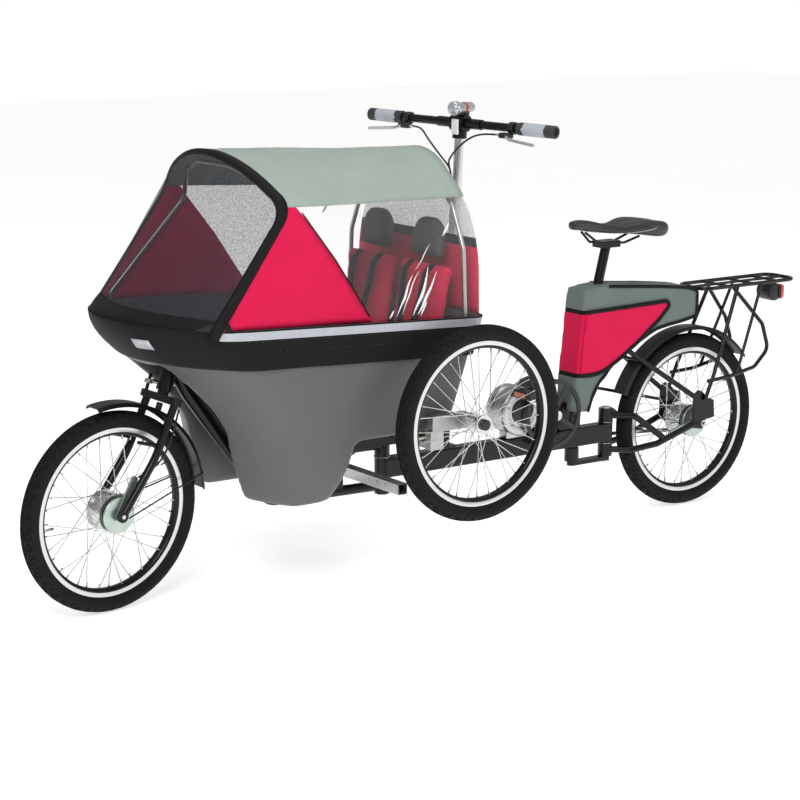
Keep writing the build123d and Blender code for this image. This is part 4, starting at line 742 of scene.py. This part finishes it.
for side, body in ((-1, "left"), (1, "right")):
    bm = bmesh.new()
    flat_piece(bm, panel_outline, 0.0, 0.012)
    for vert in bm.verts:
        vert.co.y = side * (BAG_HALF + 0.0008 + bag_bulge(vert.co.x, vert.co.z))
    panel = object_from(bm, body + "_bag_panel", [woven["crimson_polyester"]])
    edge, hem = (binding_along(panel_outline, 0.0028, 0.011),
                 binding_along(bag_outline[1:12], 0.0010, 0.009, 0.006))
    for bm in (edge, hem):
        bmesh.ops.scale(bm, verts=bm.verts, vec=(1, side, 1))
    edge = object_from(edge, body + "_bag_binding", [woven["black_polyester"]])
    hem = object_from(hem, body + "_bag_hem", [woven["black_polyester"]])
    for piece in (panel, edge, hem):
        walled(piece, 0.0012, 0.0)
        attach(piece, "frame")


# Tub: one rotationally moulded polyethylene shell in warm grey, with every
# edge rounded by the mould and a fine grain on its satin face. Its boat form
# and foot wells are lofted, opened by the tunnel and softened as one skin.
moulded_grey = finish_called("moulded_polyethylene", "#585656", "#625f60", 0.45, 240.0, 1.6, 0.06,
                             Specular_IOR_Level=0.4)
hull = ((-0.446, -1.307, -1.215, 0.258, -0.737), (-0.372, -1.347, -1.255, 0.268, -0.717),
        (-0.282, -1.437, -1.315, 0.277, -0.693), (-0.202, -1.533, -1.375, 0.283, -0.671),
        (-0.082, -1.562, -1.405, 0.287, -0.641))
wells = ((-0.592, -1.267, -1.205, 0.232, -1.081), (-0.542, -1.287, -1.209, 0.248, -1.051),
         (-0.422, -1.319, -1.221, 0.262, -1.021))


def plan_outline(nose, side, half, rear, out, corner=0.046):
    """A plan outline from the rear round the nose, with its corners eased."""
    nose, half, rear = nose - out, half + out, rear + out
    depth = side - nose
    radius = (half ** 2 + depth ** 2) / (2 * depth)
    reach = asin(half / radius)
    points = [(nose + radius - radius * cos(reach * step / 20), radius * sin(reach * step / 20))
              for step in range(-20, 21)]
    straight = [(side + (rear - corner - side) * step / 36, half) for step in range(1, 37)]
    bend = [(rear - corner + corner * sin(pi / 2 * step / 6), half - corner + corner * cos(pi / 2 * step / 6))
            for step in range(1, 7)]
    back = [(rear, (half - corner) * (1 - step / 10)) for step in range(1, 11)]
    right = straight + bend + back
    outline = list(reversed([(x, -y) for x, y in right[:-1]])) + points + right
    for _ in range(5):
        for place in [*range(48, 58), *range(88, 98)]:
            outline[place] = tuple((before + 2 * here + after) / 4 for before, here, after in
                                   zip(outline[place - 1], outline[place], outline[place + 1]))
    return outline


def between(sections, z):
    """The sizes of a form at a height, on a smooth curve through its sections."""
    sizes = [0.0] * 4
    for index, row in enumerate(sections):
        weight = 1.0
        for other, (height, *_) in enumerate(sections):
            if other != index:
                weight *= (z - height) / (row[0] - height)
        sizes = [size + weight * value for size, value in zip(sizes, row[1:])]
    return sizes


RIM_REAR, RIM_FOOT, RIM_TILT = -0.665, -0.162, radians(2.5)
RIM_NORMAL = (sin(RIM_TILT), 0, cos(RIM_TILT))


def rim_height(x):
    """The tub's rim rises towards the nose."""
    return RIM_FOOT + (RIM_REAR - x) * tan(RIM_TILT)


def bridged(bm, rows):
    """Skins a form through its rows of edges."""
    for first, second in zip(rows, rows[1:]):
        bmesh.ops.bridge_loops(bm, edges=first + second)


bm = bmesh.new()
for sections in (hull, wells):
    rows = []
    for step in range(13):
        z = sections[0][0] + (sections[-1][0] - sections[0][0]) * step / 12
        verts = [bm.verts.new((x, y, z)) for x, y in plan_outline(*between(sections, z), 0.0)]
        rows.append([bm.edges.new(pair) for pair in zip(verts, verts[1:] + verts[:1])])
        if step in (0, 12):
            bm.faces.new(verts)
    bridged(bm, rows)
mould = object_from(bm, "tub_mould", [])
tunnel = ((-1.483, -0.642), (-1.483, -0.242), (-1.455, -0.202), (-1.325, -0.202), (-1.285, -0.297),
          (-1.115, -0.350), (-0.615, -0.380), (-0.615, -0.642))
core = object_from(slab(tunnel, -0.088, 0.176), "tub_tunnel", [])
remesh(mould, 0.008)
modifier = mould.modifiers.new("tunnel", "BOOLEAN")
modifier.operation = "DIFFERENCE"
modifier.object = core
remesh(mould, 0.007)
bm = baked(mould)
bpy.data.objects.remove(core)
smoothed(bm, 10)
cut(bm, (RIM_REAR, 0, RIM_FOOT), RIM_NORMAL, clear_outer=True)
tub = object_from(bm, "tub_shell", [moulded_grey])
walled(tub, 0.005, -1.0)
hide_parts("tub")
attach(tub, "frame")


# Skirt: a black polyester band round the tub's rim, with a bound top edge, a
# grey reflective stripe, a stitched seam and a slack lower edge.
reflective_tape = finish_called("reflective_tape", "#a9abb3", "#bcbec6", 0.35, 12.0, 1.5, 0.06, Metallic=0.2)
bm = bmesh.new()
rows = []
for step in range(17):
    drop = 0.0975 * step / 16
    verts = []
    guess = plan_outline(*between(hull[1:], -0.15 - drop), 0.0054)
    for number, (x, y) in enumerate(guess):
        for _ in range(2):
            z = rim_height(x) - drop + 0.0012
            x, y = plan_outline(*between(hull[1:], z), 0.0054)[number]
        slack = max(0.0, drop - 0.055) / 0.04
        wave = sin(number * 0.55) * 0.0016 + noise.noise(Vector((x * 7, y * 7, z * 9))) * 0.0035
        out = Vector((x + 1.1, y, 0)).normalized() * (wave * slack)
        verts.append(bm.verts.new((x + out.x, y + out.y, z)))
    rows.append([bm.edges.new(pair) for pair in zip(verts, verts[1:] + verts[:1])])
bridged(bm, rows)
STRIPE_TOP, STRIPE_LOW = -0.0028, -0.0225
for offset in (STRIPE_TOP, STRIPE_LOW, -0.062, -0.0632):
    cut(bm, (RIM_REAR, 0, RIM_FOOT + offset), RIM_NORMAL)
cut(bm, (-1.440, 0, -0.14), (1, 0, 0.9))
for face in bm.faces:
    middle = face.calc_center_median()
    below = middle.z - rim_height(middle.x)
    behind = (middle.x + 1.440) + 0.9 * (middle.z + 0.14) > 0
    face.material_index = 1 if STRIPE_LOW < below < STRIPE_TOP and behind else 0
area = sum(face.calc_area() for face in bm.faces)
skirt = object_from(bm, "skirt_band", [woven["black_polyester"], reflective_tape])
walled(skirt, 0.0016, 1.0)
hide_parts("skirt")
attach(skirt, "frame")
bm = bmesh.new()
tag_rows = []
tag_line = [(x, y) for x, y in plan_outline(*between(hull[1:], -0.16), 0.0096)
            if -0.150 < y < -0.085 and x < -1.4]
for x, y in tag_line:
    tag_rows.append([bm.verts.new((x + (between(hull[1:], z)[0] - between(hull[1:], -0.16)[0]), y, z))
                     for z in (-0.158, -0.170, -0.182)])
ribbon(bm, tag_rows)
tag = object_from(bm, "skirt_tag", [reflective_tape])
walled(tag, 0.0008)
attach(tag, "frame")
stitch_thread = finish_called("polyester_thread", "#1f2022", "#2c2d30", 0.6, 8.0, 0.6, 0.05)
for index, drop in enumerate((0.0265, 0.0520)):
    bm = bmesh.new()
    outline = plan_outline(*between(hull[1:], -0.15 - drop), 0.0080)
    for number in range(len(outline) - 1):
        x, y = outline[number]
        for _ in range(2):
            z = rim_height(x) - drop
            x, y = plan_outline(*between(hull[1:], z), 0.0080)[number]
        after_x, after_y = outline[number + 1]
        along = Vector((after_x - x, after_y - y, 0))
        count = max(1, int(along.length / 0.0075))
        for stitch in range(count):
            spot = Vector((x, y, z)) + along * ((stitch + 0.5) / count)
            box_at(bm, spot, (0.0048, 0.0010, 0.0010), Matrix.Rotation(atan2(along.y, along.x), 4, "Z"))
    seam = object_from(bm, f"skirt_stitching_{index + 1}", [stitch_thread], smooth=False)
    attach(seam, "frame")


# Child seats: foam cushions under polyester, charcoal benches and crimson
# backs with round-topped charcoal headrests, all stuffed and slightly slack.
def stuffed(name, bm, material, voxel=0.006, cap=0.008, steps=20):
    """Fills a closed form as foam fills its cover: even mesh, cloth under pressure, smoothed."""
    rough = object_from(bm, name + "_rough", [])
    remesh(rough, voxel)
    mesh = bpy.data.meshes.new_from_object(rough.evaluated_get(bpy.context.evaluated_depsgraph_get()))
    bpy.data.objects.remove(rough)
    piece = bpy.data.objects.new(name, mesh)
    bpy.context.scene.collection.objects.link(piece)
    cloth = piece.modifiers.new("filling", "CLOTH")
    cloth.settings.use_pressure = True
    cloth.settings.uniform_pressure_force = 4.0
    cloth.settings.effector_weights.gravity = 0.0
    start = [vert.co.copy() for vert in mesh.vertices]
    for step in range(1, steps + 1):
        bpy.context.scene.frame_set(step)
    filled = bpy.data.meshes.new_from_object(piece.evaluated_get(bpy.context.evaluated_depsgraph_get()))
    piece.modifiers.clear()
    for vert, was in zip(filled.vertices, start):
        move = vert.co - was
        vert.co = was + move * min(1.0, cap / max(move.length, 0.00001))
    piece.data = filled
    bpy.context.scene.frame_set(1)
    piece.data.materials.append(material)
    bm = bmesh.new()
    bm.from_mesh(piece.data)
    smoothed(bm, 3)
    bm.to_mesh(piece.data)
    bm.free()
    for polygon in piece.data.polygons:
        polygon.use_smooth = True
    finer = piece.modifiers.new("finer", "SUBSURF")
    finer.levels = finer.render_levels = 1
    return piece


for side, body in ((-1, "left"), (1, "right")):
    bm = bmesh.new()
    box_at(bm, (-0.873, side * 0.118, -0.338), (0.212, 0.208, 0.034), Matrix.Rotation(radians(3.43), 4, "Y"))
    eased(bm, bm.edges[:], 0.010, 3)
    cushion = stuffed(body + "_bench_cushion", bm, woven["charcoal_polyester"])
    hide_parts("seat_cushions")
    bm = bmesh.new()
    box_at(bm, (-0.745, side * 0.116, -0.176), (0.030, 0.200, 0.284), Matrix.Rotation(radians(9.3), 4, "Y"))
    eased(bm, bm.edges[:], 0.009, 3)
    back = stuffed(body + "_seat_back", bm, woven["crimson_polyester"])
    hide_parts("seat_backs")
    bm = bmesh.new()
    box_at(bm, (-0.7135, side * 0.112, 0.024), (0.026, 0.120, 0.098), Matrix.Rotation(radians(8.0), 4, "Y"))
    tops = [e for e in bm.edges if all(v.co.z > 0.05 for v in e.verts)
            and abs(e.verts[0].co.y - e.verts[1].co.y) < 0.01]
    eased(bm, tops, 0.052, 10)
    headrest = stuffed(body + "_headrest", bm, woven["charcoal_polyester"], voxel=0.005, cap=0.005)
    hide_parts("headrests")
    for piece in (cushion, back, headrest):
        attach(piece, "frame")


# Harness: flat black webbing down each seat back to a moulded buckle.
webbing = finish_called("black_nylon_webbing", "#0a0b0c", "#131416", 0.65, 20.0, 1.6, 0.25,
                        Specular_IOR_Level=0.2)
for side, body in ((-1, "left"), (1, "right")):
    bm = bmesh.new()
    for across in (-0.045, 0.045):
        path = ((-0.7350, across, -0.040), (-0.7600, across, -0.060), (-0.7720, across * 0.9, -0.120),
                (-0.7880, across * 0.6, -0.200), (-0.8150, across * 0.25, -0.262),
                (-0.8400, across * 0.1, -0.292))
        edge = bm.edges.new([bm.verts.new(Vector(path[0]) + Vector((0, off, 0))) for off in (-0.011, 0.011)])
        for first, second in zip(path, path[1:]):
            grown = bmesh.ops.extrude_edge_only(bm, edges=[edge])["geom"]
            ends = {item for item in grown if isinstance(item, bmesh.types.BMVert)}
            edge = next(item for item in grown if isinstance(item, bmesh.types.BMEdge)
                        and ends.issuperset(item.verts))
            bmesh.ops.translate(bm, verts=edge.verts[:], vec=Vector(second) - Vector(first))
    bmesh.ops.translate(bm, verts=bm.verts, vec=(0, side * 0.114, 0))
    straps = object_from(bm, body + "_harness_straps", [webbing])
    walled(straps, 0.0018)
    bm = bmesh.new()
    box_at(bm, (-0.842, side * 0.114, -0.300), (0.042, 0.036, 0.012))
    eased(bm, bm.edges[:], 0.0045, 3)
    buckle = object_from(bm, body + "_harness_buckle", [black_abs])
    for piece in (straps, buckle):
        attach(piece, "frame")


# Canopy cloth: coated polyester in sage over the top and crimson at the front
# of each side, sewn to clear vinyl windows and stretched over two bows. One
# sheet is bridged between three arches and cut along its seams.
NOSE_LOW = (-0.202, -1.594, -1.497)         # height, nose and side of the mesh's surface
NOSE_HIGH = (0.298, -1.283, -1.105)
MESH_HALF = 0.3
arch_front = ((0.285, -0.242), (0.277, 0.098), (0.264, 0.152), (0.236, 0.180), (0.0, 0.262))
arch_rear = ((0.270, -0.242), (0.264, -0.042), (0.228, 0.080), (0.130, 0.186), (0.0, 0.241))
BOW_X, REAR_X = -1.223, -0.667


def arc_through(start, middle, end, steps):
    """Points along the arc from start by way of middle to end, without its start."""
    (ax, ay), (bx, by), (cx, cy) = start, middle, end
    twice = 2 * (ax * (by - cy) + bx * (cy - ay) + cx * (ay - by))
    sa, sb, sc = ax * ax + ay * ay, bx * bx + by * by, cx * cx + cy * cy
    ux = (sa * (by - cy) + sb * (cy - ay) + sc * (ay - by)) / twice
    uy = (sa * (cx - bx) + sb * (ax - cx) + sc * (bx - ax)) / twice
    first = atan2(ay - uy, ax - ux)
    turn = (atan2(cy - uy, cx - ux) - first + pi) % (2 * pi) - pi
    radius = hypot(ax - ux, ay - uy)
    return [(ux + radius * cos(first + turn * step / steps), uy + radius * sin(first + turn * step / steps))
            for step in range(1, steps + 1)]


def arch_outline(base, shoulder, corner, crown, top):
    """The canopy's cross-section from its left foot over the top to the right."""
    half = [(base[0] + (shoulder[0] - base[0]) * step / 8, base[1] + (shoulder[1] - base[1]) * step / 8)
            for step in range(9)]
    half += arc_through(shoulder, corner, crown, 8)
    left = [(-y, z) for y, z in half]
    over = arc_through(left[-1], top, half[-1], 20)
    return left + over + list(reversed(half))[1:]


def nose_section(z):
    """Centre and radius of the mesh's arc at a height."""
    share = (z - NOSE_LOW[0]) / (NOSE_HIGH[0] - NOSE_LOW[0])
    nose = NOSE_LOW[1] + share * (NOSE_HIGH[1] - NOSE_LOW[1])
    side = NOSE_LOW[2] + share * (NOSE_HIGH[2] - NOSE_LOW[2])
    radius = (MESH_HALF ** 2 + (side - nose) ** 2) / (2 * (side - nose))
    return nose + radius, radius


def nose_x(y, z):
    centre, radius = nose_section(z)
    return centre - (radius ** 2 - y ** 2) ** 0.5


def loop_of(bm, points):
    verts = [bm.verts.new(point) for point in points]
    return [bm.edges.new(pair) for pair in zip(verts, verts[1:])]


def side_of(edge_points, x, z):
    """How far a point lies behind a line of (x, z) points that falls to the rear."""
    for (x1, z1), (x2, z2) in zip(edge_points, edge_points[1:]):
        if z >= z2 or (x2, z2) == edge_points[-1]:
            return x - (x1 + (z1 - z) / (z1 - z2) * (x2 - x1))


def creased(bm, lines, depth):
    """Presses long soft folds into a sheet: each line has two ends, a width and a share of the depth."""
    moves = []
    for vert in bm.verts:
        push = 0.0
        for start, end, width, share in lines:
            along = Vector(end) - Vector(start)
            reach = (vert.co - Vector(start)).dot(along) / along.length_squared
            if -0.1 < reach < 1.1:
                aside = (vert.co - (Vector(start) + along * reach)).length / width
                fade = min(1.0, max(0.0, 4 * (reach + 0.1))) * min(1.0, max(0.0, 4 * (1.1 - reach)))
                push += share * fade * (1 / (1 + aside * aside * 4) - 0.2 / (1 + aside * aside))
        moves.append((vert, vert.normal * push * depth))
    for vert, move in moves:
        vert.co += move


seam_start, seam_end = Vector((BOW_X, 0, 0.147)), Vector((REAR_X, 0, 0.130))
red_edge = [(-1.227, 0.158), (-1.111, 0.014), (-0.977, -0.182), (-0.95, -0.23)]
outline_front, outline_rear = arch_outline(*arch_front), arch_outline(*arch_rear)
bm = bmesh.new()
front = loop_of(bm, [(nose_x(y, z) - 0.002, y, z) for y, z in outline_front])
middle = loop_of(bm, [(BOW_X + 0.003, y, z) for y, z in outline_front])
rear = loop_of(bm, [(REAR_X, y, z) for y, z in outline_rear])
bmesh.ops.bridge_loops(bm, edges=front + middle)
bmesh.ops.bridge_loops(bm, edges=middle + rear)
across = set(front + middle + rear)
lengthways = [edge for edge in bm.edges if edge not in across]
bmesh.ops.subdivide_edges(bm, edges=[e for e in lengthways if max(v.co.x for v in e.verts) > BOW_X + 0.1],
                          cuts=23, use_grid_fill=True)
ahead = [e for e in bm.edges if e.calc_length() > 0.03 and abs(e.verts[0].co.x - e.verts[1].co.x) > 0.02
         and max(v.co.x for v in e.verts) < BOW_X + 0.02]
bmesh.ops.subdivide_edges(bm, edges=ahead, cuts=7, use_grid_fill=True)
for place, normal, below in (((RIM_REAR, 0, -0.1605), RIM_NORMAL, True),
                             (seam_start, Vector((0, 1, 0)).cross(seam_end - seam_start), False)):
    cut(bm, place, normal, clear_inner=below)
for (x1, z1), (x2, z2) in zip(red_edge, red_edge[1:]):
    low = [face for face in bm.faces if face.calc_center_median().z < 0.15]
    geom = low + list({e for f in low for e in f.edges}) + list({v for f in low for v in f.verts})
    bmesh.ops.bisect_plane(bm, geom=geom, plane_co=(x1, 0, z1), plane_no=(z1 - z2, 0, x2 - x1))
bmesh.ops.recalc_face_normals(bm, faces=bm.faces)
for face in bm.faces:
    x, y, z = face.calc_center_median()
    seam_z = seam_start.z + (x - seam_start.x) / (seam_end.x - seam_start.x) * (seam_end.z - seam_start.z)
    face.material_index = 0 if z > seam_z else 1 if side_of(red_edge, x, z) < 0 else 2
creased(bm, (
    ((-1.40, -0.284, -0.12), (-1.13, -0.276, -0.03), 0.020, 1.0),
    ((-1.34, -0.284, -0.10), (-1.02, -0.280, -0.13), 0.022, 0.8),
    ((-1.26, -0.280, 0.04), (-1.12, -0.280, -0.09), 0.016, -0.6),
    ((-1.40, 0.284, -0.12), (-1.10, 0.276, -0.02), 0.022, 1.0),
    ((-1.20, -0.22, 0.20), (-0.95, -0.20, 0.17), 0.030, -0.5),
    ((-1.18, 0.10, 0.25), (-0.90, -0.12, 0.25), 0.045, 0.6),
    ((-0.92, -0.25, 0.13), (-0.82, -0.10, 0.24), 0.030, 0.5),
    ((-0.80, -0.24, 0.12), (-0.72, -0.05, 0.24), 0.030, -0.5),
    ((-1.06, 0.24, 0.16), (-0.88, 0.05, 0.25), 0.030, 0.5),
    ((-1.21, -0.255, 0.17), (-1.08, -0.20, 0.215), 0.026, 0.9),
    ((-1.15, -0.26, 0.16), (-0.80, -0.245, 0.150), 0.024, -0.8),
    ((-1.00, -0.225, 0.19), (-0.78, -0.235, 0.155), 0.022, 0.8),
    ((-0.90, -0.19, 0.21), (-0.72, -0.215, 0.165), 0.024, -0.8)), 0.0060)
for vert in bm.verts:
    slack = max(0.0, sin(pi * min(1.0, max(0.0, (vert.co.x - BOW_X) / (REAR_X - BOW_X)))))
    ripple = noise.noise(vert.co * 9.0) * 0.0022 + noise.noise(vert.co * 31.0) * 0.0006
    vert.co += vert.normal * (ripple * slack - 0.004 * slack)

# The two faces of the film add up, so each is only faintly hazed. The film turns whiter
# where it is seen edge on: partly haze, partly a painted reflection.
clear_vinyl = finish_called("clear_vinyl", "#eef2f1", "#f6f8f8", 0.05, 80.0, 30.0, 1.2, Specular_IOR_Level=0.8)
facing = add_node(clear_vinyl, "LayerWeight", Blend=0.3).outputs["Facing"]
# Alpha rising towards the edge-on view paints the film's reflection in as white haze.
haze_and_painted_reflection = add_node(clear_vinyl, "MapRange", Value=facing, From_Min=0.0, To_Min=0.01, To_Max=0.14).outputs["Result"]
into(clear_vinyl, Alpha=haze_and_painted_reflection)

for index, (name, node, slot, material, thickness) in enumerate((
        ("roof_cloth", "canopy_roof", "roof_fabric", woven["sage_polyester"], 0.0014),
        ("crimson_panels", "canopy_side_panels", "crimson_fabric", woven["crimson_polyester"], 0.0014),
        ("window_vinyl", "side_windows", "clear_vinyl", clear_vinyl, 0.0010))):
    part = bm.copy()
    bmesh.ops.delete(part, geom=[f for f in part.faces if f.material_index != index], context="FACES")
    for face in part.faces:
        face.material_index = 0
    area = sum(face.calc_area() for face in part.faces)
    piece = object_from(part, name, [material])
    walled(piece, thickness, 0.0)
    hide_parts(node)
    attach(piece, "frame")
    low, high = (Vector(corner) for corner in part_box(node))
    size = high - low
bm.free()


# Seam piping: a thin black cord sewn along each crimson panel's sloping edge.
for side, body in ((-1, "left"), (1, "right")):
    bm = bmesh.new()
    centre = []
    for (x1, z1), (x2, z2) in zip(red_edge[:-1], red_edge[1:]):
        for step in range(12):
            x, z = x1 + (x2 - x1) * step / 12, z1 + (z2 - z1) * step / 12
            share = (x - BOW_X) / (REAR_X - BOW_X)
            if rim_height(x) + 0.003 < z < 0.140:
                lean = (z + 0.242) * (0.018 + 0.014 * share)
                centre.append(Vector((x, side * (0.2855 - 0.015 * share - lean), z)))
    rings = []
    for point in centre:
        rings.append([bm.verts.new(point + Vector((0.0015 * cos(a), 0.0012 * sin(a), 0.0009 * cos(a))))
                      for a in (0.0, pi / 3, 2 * pi / 3, pi, 4 * pi / 3, 5 * pi / 3)])
    for first, second in zip(rings, rings[1:]):
        for a, b, c, d in zip(first, first[1:] + first[:1], second[1:] + second[:1], second):
            bm.faces.new((a, b, c, d))
    bm.faces.new(rings[0])
    bm.faces.new(rings[-1])
    cord = object_from(bm, body + "_panel_piping", [webbing])
    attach(cord, "frame")


# Mesh front: black insect screen between the tub's nose and the front bow,
# with a wide black binding sewn over its edge.
def nose_point(share, z):
    centre, radius = nose_section(z)
    half_angle = asin(MESH_HALF / radius)
    return centre - radius * cos(half_angle * share), radius * sin(half_angle * share)


def screen_called(name, dark, light, least, most):
    """Insect screen. Its two faces add up, so each hides only a part, between least and most."""
    # The weave has a hole every 1 mm and is drawn three times as coarse, so that it shows.
    screen = finish_called(name, dark, light, 0.6, 3.0, 1.2, 0.05, Specular_IOR_Level=0.3)
    place = add_node(screen, "TexCoord").outputs["Object"]
    holes = add_node(screen, "TexNoise", Vector=place, Scale=330.0, Detail=1.0).outputs["Fac"]
    hidden = add_node(screen, "MapRange", Value=holes, From_Min=0.35, From_Max=0.65, To_Min=least, To_Max=most)
    into(screen, Alpha=hidden.outputs["Result"])
    return screen


black_screen = screen_called("black_screen_mesh", "#26272e", "#4a4b55", 0.24, 0.44)
edge_points, foot_points = [], []
for y, z in outline_front:
    x = nose_x(y, z)
    if z < rim_height(x) + 0.001:
        continue
    centre, radius = nose_section(z)
    share = asin(y / radius) / asin(MESH_HALF / radius)
    foot_z = rim_height(x)
    for _ in range(4):
        foot_x, foot_y = nose_point(share, foot_z)
        foot_z = rim_height(foot_x) + 0.001
    edge_points.append((x, y, z))
    foot_points.append((foot_x, foot_y, foot_z))
bm = bmesh.new()
upper, lower = loop_of(bm, edge_points), loop_of(bm, foot_points)
bmesh.ops.bridge_loops(bm, edges=upper + lower)
bmesh.ops.subdivide_edges(bm, edges=[e for e in bm.edges if e not in set(upper + lower)], cuts=30,
                          use_grid_fill=True)
bmesh.ops.recalc_face_normals(bm, faces=bm.faces)
creased(bm, (
    ((-1.50, -0.22, -0.08), (-1.22, -0.26, 0.10), 0.022, 1.0),
    ((-1.56, -0.12, -0.06), (-1.28, -0.24, 0.06), 0.016, -0.9),
    ((-1.52, 0.10, -0.08), (-1.38, -0.05, 0.14), 0.030, 0.8),
    ((-1.58, 0.02, -0.10), (-1.36, 0.14, 0.18), 0.026, 0.8),
    ((-1.48, 0.22, -0.06), (-1.26, 0.22, 0.12), 0.024, -0.8)), 0.0060)
area = sum(face.calc_area() for face in bm.faces)
mesh_front = object_from(bm, "mesh_front", [black_screen])
walled(mesh_front, 0.0008)
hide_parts("front_mesh")
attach(mesh_front, "frame")


# Mesh bindings: black webbing, one band folded over the curved edge and one
# round the foot, which drops over the tub's rim and is sewn to the skirt.
feet = [(nose_x(y, z), y, z) for y, z in ((-0.2845, -0.146), (0.2845, -0.146))]
band_points = [feet[0]] + edge_points + [feet[1]]
bm = bmesh.new()
rows = []
for along, outward in ((-0.016, 0.0015), (-0.003, 0.0035), (0.004, 0.0035), (0.022, 0.0015)):
    row = []
    for x, y, z in band_points:
        spread = Vector((0, y, z)).normalized() * outward * (1.0 if along > 0 else 0.2)
        inward = (Vector((0, y, z)).normalized() * (0.6 * along)) if along < 0 else Vector()
        ahead = along if along > 0 else -0.0045
        row.append((x + ahead, y + spread.y + inward.y, z + spread.z + inward.z))
    rows.append(loop_of(bm, row))
bridged(bm, rows)
edge_band = object_from(bm, "mesh_edge_binding", [webbing])
bm = bmesh.new()
rows = []
nose_plan = [(x, y) for x, y in plan_outline(*between(hull[1:], -0.135), 0.0072) if x < -1.40]
for rise in (0.0, 0.34, 0.67, 1.0):
    row = []
    for x, y in nose_plan:
        share = max(-1.0, min(1.0, y / 0.2865))
        top_z = rim_height(x) + 0.024
        top_x, top_y = nose_point(share, top_z)
        foot = Vector((x, y, rim_height(x) - 0.003))
        head = Vector((top_x - 0.0015, top_y, top_z))
        row.append(foot.lerp(head, rise) + Vector((-0.002, 0, 0.003)) * sin(pi * rise))
    rows.append(loop_of(bm, row))
bridged(bm, rows)
foot_band = object_from(bm, "mesh_foot_binding", [webbing])
for piece in (edge_band, foot_band):
    walled(piece, 0.002, 0.0)
    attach(piece, "frame")


# Rear wall: pale screen mesh above, a black webbing band and a crimson skirt
# below it, filling the rear arch behind the seats.
pale_screen = screen_called("pale_screen_mesh", "#b4b5b7", "#dfe0e2", 0.20, 0.62)
half = [(y - 0.0022, z) for y, z in outline_rear[len(outline_rear) // 2:]]
half = [(max(0.004, y), z - (0.0022 if z > 0.15 else 0.0)) for y, z in half if z > -0.158]
half.append((half[-1][0], -0.158))
bm = bmesh.new()
left = loop_of(bm, [(REAR_X - 0.002, -y, z) for y, z in half])
right = loop_of(bm, [(REAR_X - 0.002, y, z) for y, z in half])
bmesh.ops.bridge_loops(bm, edges=left + right)
bmesh.ops.subdivide_edges(bm, edges=[e for e in bm.edges if e not in set(left + right)], cuts=14,
                          use_grid_fill=True)
for height in (0.006, 0.030):
    cut(bm, (0, 0, height), (0, 0, 1))
for vert in bm.verts:
    vert.co.x += (noise.noise(vert.co * 11.0) - 0.3) * 0.003 if abs(vert.co.y) < 0.2 else 0.0
for face in bm.faces:
    height = face.calc_center_median().z
    face.material_index = 2 if height < 0.006 else 1 if height < 0.030 else 0
area = sum(face.calc_area() for face in bm.faces)
rear_wall = object_from(bm, "rear_wall", [pale_screen, webbing, woven["crimson_polyester"]])
walled(rear_wall, 0.0010, 0.0)
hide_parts("rear_window")
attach(rear_wall, "frame")


# Window folds: short stiff creases in the clear film above the rim, drawn as
# raised white ribbons; their white is a painted highlight where the creases catch the light.
# The fold ribbons' white colour is a painted highlight, not the film's own colour.
fold_highlight_vinyl = finish_called("vinyl_fold_painted_highlight", "#f1f2f4", "#ffffff", 0.12, 9.0, 4.0, 0.4, Coat_Weight=0.8,
                              Coat_Roughness=0.04)
for side, body in ((-1, "left"), (1, "right")):
    bm = bmesh.new()
    for path, width in ((((-0.930, -0.142), (-0.915, -0.112), (-0.903, -0.096), (-0.893, -0.060),
                          (-0.880, -0.042)), 0.0074),
                        (((-0.913, -0.138), (-0.900, -0.107), (-0.889, -0.088), (-0.877, -0.054),
                          (-0.860, -0.034)), 0.0044),
                        (((-0.880, -0.144), (-0.868, -0.120), (-0.850, -0.096), (-0.838, -0.060),
                          (-0.832, -0.026)), 0.0100),
                        (((-0.866, -0.142), (-0.852, -0.128), (-0.838, -0.100), (-0.822, -0.078),
                          (-0.806, -0.040)), 0.0092),
                        (((-0.856, -0.146), (-0.845, -0.126), (-0.836, -0.112)), 0.0060),
                        (((-0.952, -0.144), (-0.944, -0.134), (-0.938, -0.124)), 0.0060),
                        (((-0.872, -0.030), (-0.852, -0.010), (-0.842, 0.012), (-0.826, 0.030)), 0.0030),
                        (((-0.786, 0.046), (-0.776, 0.060), (-0.766, 0.078)), 0.0070)):
        curve = bpy.data.curves.new("fold_route", "CURVE")
        curve.dimensions = "3D"
        spline = curve.splines.new("NURBS")
        spline.points.add(len(path) - 1)
        for point, (x, z) in zip(spline.points, path):
            share = (x - BOW_X) / (REAR_X - BOW_X)
            foot = 0.285 + share * (0.270 - 0.285)
            lean = (z + 0.242) * (0.012 + share * 0.016)
            point.co = (x, side * (foot - lean + 0.0002), z, 1.0)
        spline.order_u = 3
        spline.use_endpoint_u = True
        holder = bpy.data.objects.new("fold_route", curve)
        bpy.context.scene.collection.objects.link(holder)
        bpy.context.view_layer.update()
        route = bpy.data.meshes.new_from_object(holder.evaluated_get(bpy.context.evaluated_depsgraph_get()))
        points = [vert.co.copy() for vert in route.vertices]
        bpy.data.objects.remove(holder)
        rows = []
        for number, point in enumerate(points):
            swell = sin(pi * (number + 0.4) / (len(points) - 0.2)) ** 0.7
            wobble = 1.0 + 0.35 * sin(number * 1.9 + width * 900)
            across = Vector((0.8, 0, -0.5)).normalized() * width / 2 * swell * wobble
            crest = Vector((0, side * (0.0004 + 0.0018 * swell), 0))
            rows.append([bm.verts.new(point + across), bm.verts.new(point + crest),
                         bm.verts.new(point - across)])
        ribbon(bm, rows)
    # Each fold is a white ribbon of painted highlight standing in for light caught by the crease.
    folds = object_from(bm, body + "_window_fold_highlights", [fold_highlight_vinyl])
    walled(folds, 0.0005)
    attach(folds, "frame")
